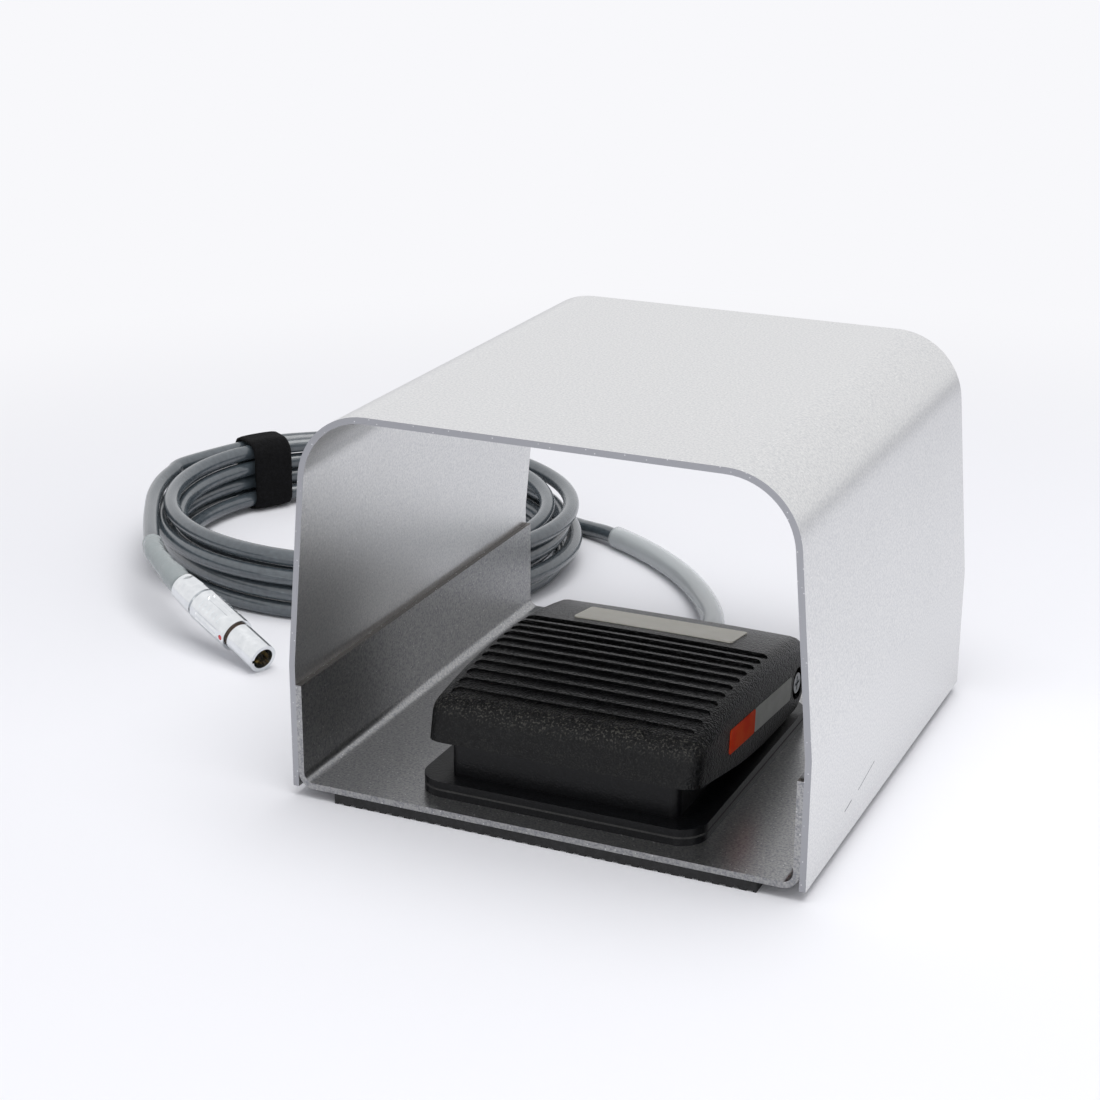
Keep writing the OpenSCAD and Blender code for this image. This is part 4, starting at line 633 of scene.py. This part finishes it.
def clear_tube(name, colour, clearness, roughness, wave_mm, wave_depth_mm):
    """Glossy soft plastic, see-through by its clearness, with a wavy skin."""
    m, output, place = new_material(name)
    wave = add(m, "ShaderNodeTexNoise", {"Vector": place, "Scale": 1000 / wave_mm, "Detail": 2})
    bump = add(m, "ShaderNodeBump", {"Height": wave.outputs["Fac"], "Strength": 0.6,
                                     "Distance": wave_depth_mm * MM})
    skin = add(m, "ShaderNodeBsdfPrincipled", {"Base Color": linear(colour), "Roughness": roughness,
                                               "Alpha": 1 - clearness,
                                               "Normal": bump.outputs["Normal"]})
    return close_material(m, output, skin)


label_film = film("cream_label_film", "#f4f0e2", "#fbf7ea", 0.5)
sticker_red = film("red_sticker_film", "#f8400f", "#ff5a22", 0.5, 0.12)
sticker_grey = film("grey_sticker_film", "#a6a8a2", "#b4b6b0", 0.35)
dot_red = film("red_enamel", "#c4202a", "#cf2a30", 0.3)
sleeve_clear = clear_tube("clear_soft_tube", "#d3d8da", 0.46, 0.12, 9, 0.004)
shrink_clear = clear_tube("clear_heat_shrink", "#a9b1b2", 0.32, 0.06, 4, 0.7)

# %% Give each piece its finish
FINISH = {
    "guard_hood": hood_paint, "base_tray": tray_paint_shaded, "seam_tacks": weld_steel,
    "rubber_pad": pad_rubber,
    "bottom_cover": pedal_black, "cover_gasket": gasket_rubber, "pedal_base": pedal_black,
    "cover_screws": steel, "mounting_screws": steel, "pivot_screws": steel, "stop_bumpers": gasket_rubber,
    "return_springs": steel, "rod_seal": gasket_rubber, "switch_body": switch_plastic,
    "switch_screws": steel, "switch_terminals": brass, "switch_wires": wire_red, "inner_cord": cable_jacket,
    "cord_clamp": steel, "clamp_screws": steel, "cord_gland": gland_black, "treadle": treadle_black,
    "label_plate": label_film, "red_label": sticker_red, "grey_label": sticker_grey,
    "push_rod": rod_white, "switch_lever": steel, "switch_button": button_red,
    "collet_nut": connector_chrome, "plug_collet": brass, "plug_shell": connector_chrome,
    "latch_ring": latch_bronze_painted_shade, "plug_insulator": switch_plastic, "plug_pins": brass,
    "grip_sleeve": connector_chrome, "alignment_dot": dot_red}
for name, material in FINISH.items():
    nodes[name].data.materials.clear()
    nodes[name].data.materials.append(material)
OWN_FINISH = ((cable, cable_jacket), (sleeve, sleeve_clear), (shrink, shrink_clear),
              (strap, strap_loop), (springs, steel))
for piece, material in OWN_FINISH:
    piece.data.materials.append(material)
print("finishes given:", len(FINISH) + len(OWN_FINISH))

# %% [markdown]
# ## Floor and light
# The switch stands in a light tent: white all round, with a little more from above, from the right and
# from the front. The floor is pale paper near the switch, where it keeps the soft shadow, and fades for
# the camera into the plain white of the surroundings. Mirror-like surfaces see that white too.

# %% Floor, surroundings and lamps
FLOOR_CORNERS = [(-3, -3, 0), (3, -3, 0), (3, 6, 0), (-3, 6, 0)]
FADE_FROM, FADE_TO = 0.25, 0.62
TENT_STRENGTH, PLAIN_STRENGTH = 0.5, 1.0
floor_mesh = bpy.data.meshes.new("floor")
floor_mesh.from_pydata(FLOOR_CORNERS, [], [(0, 1, 2, 3)])
floor = bpy.data.objects.new("floor", floor_mesh)
bpy.context.scene.collection.objects.link(floor)
m, output, place = new_material("floor_paper")
paper = add(m, "ShaderNodeBsdfPrincipled", {"Base Color": linear("#ededf1"), "Roughness": 0.9,
                                            "Specular IOR Level": 0.1})
white = add(m, "ShaderNodeEmission", {"Color": linear("#f8f8fb"), "Strength": 1.0})
reach = add(m, "ShaderNodeVectorMath", {0: place}, operation="LENGTH")
far = add(m, "ShaderNodeMapRange", {"Value": reach.outputs["Value"], "From Min": FADE_FROM,
                                    "From Max": FADE_TO}, interpolation_type="SMOOTHSTEP")
ray = add(m, "ShaderNodeLightPath")
share = add(m, "ShaderNodeMath", {0: far.outputs["Result"], 1: ray.outputs["Is Camera Ray"]},
            operation="MULTIPLY")
floor_shader = add(m, "ShaderNodeMixShader", {"Fac": share.outputs[0], 1: paper.outputs[0],
                                              2: white.outputs[0]})
floor.data.materials.append(close_material(m, output, floor_shader))

world = bpy.data.worlds.new("tent")
bpy.context.scene.world = world
world.use_nodes = True
world.node_tree.nodes.clear()
seen = add(world, "ShaderNodeLightPath")
plain = add(world, "ShaderNodeBackground", {"Color": linear("#fafafc"), "Strength": PLAIN_STRENGTH})
tent = add(world, "ShaderNodeBackground", {"Color": linear("#f8f9fc"), "Strength": TENT_STRENGTH})
direct = add(world, "ShaderNodeMath", {0: seen.outputs["Is Camera Ray"],
                                       1: seen.outputs["Is Transmission Ray"]}, operation="MAXIMUM")
direct = add(world, "ShaderNodeMath", {0: direct.outputs[0], 1: seen.outputs["Is Glossy Ray"]},
             operation="MAXIMUM")
mixed = add(world, "ShaderNodeMixShader", {"Fac": direct.outputs[0], 1: tent.outputs[0],
                                           2: plain.outputs[0]})
add(world, "ShaderNodeOutputWorld", {"Surface": mixed.outputs[0]})


def lamp(name, place, aim, size, watts):
    """A square white area lamp at a place, turned to its aim."""
    light = bpy.data.lights.new(name, "AREA")
    light.size, light.energy = size, watts
    one = bpy.data.objects.new(name, light)
    bpy.context.scene.collection.objects.link(one)
    one.location = place
    one.rotation_euler = (Vector(aim) - Vector(place)).to_track_quat("-Z", "Y").to_euler()
    return one


LAMPS = (("top_light", (0.2, -0.1, 1.4), (0, 0, 0.05), 1.2, 15.0),
         ("right_light", (1.3, -0.5, 0.7), (0, 0, 0.05), 0.9, 2.0),
         ("front_light", (0.15, -1.1, 0.35), (0, -0.05, 0.02), 0.5, 1.2))
for setting in LAMPS:
    lamp(*setting)
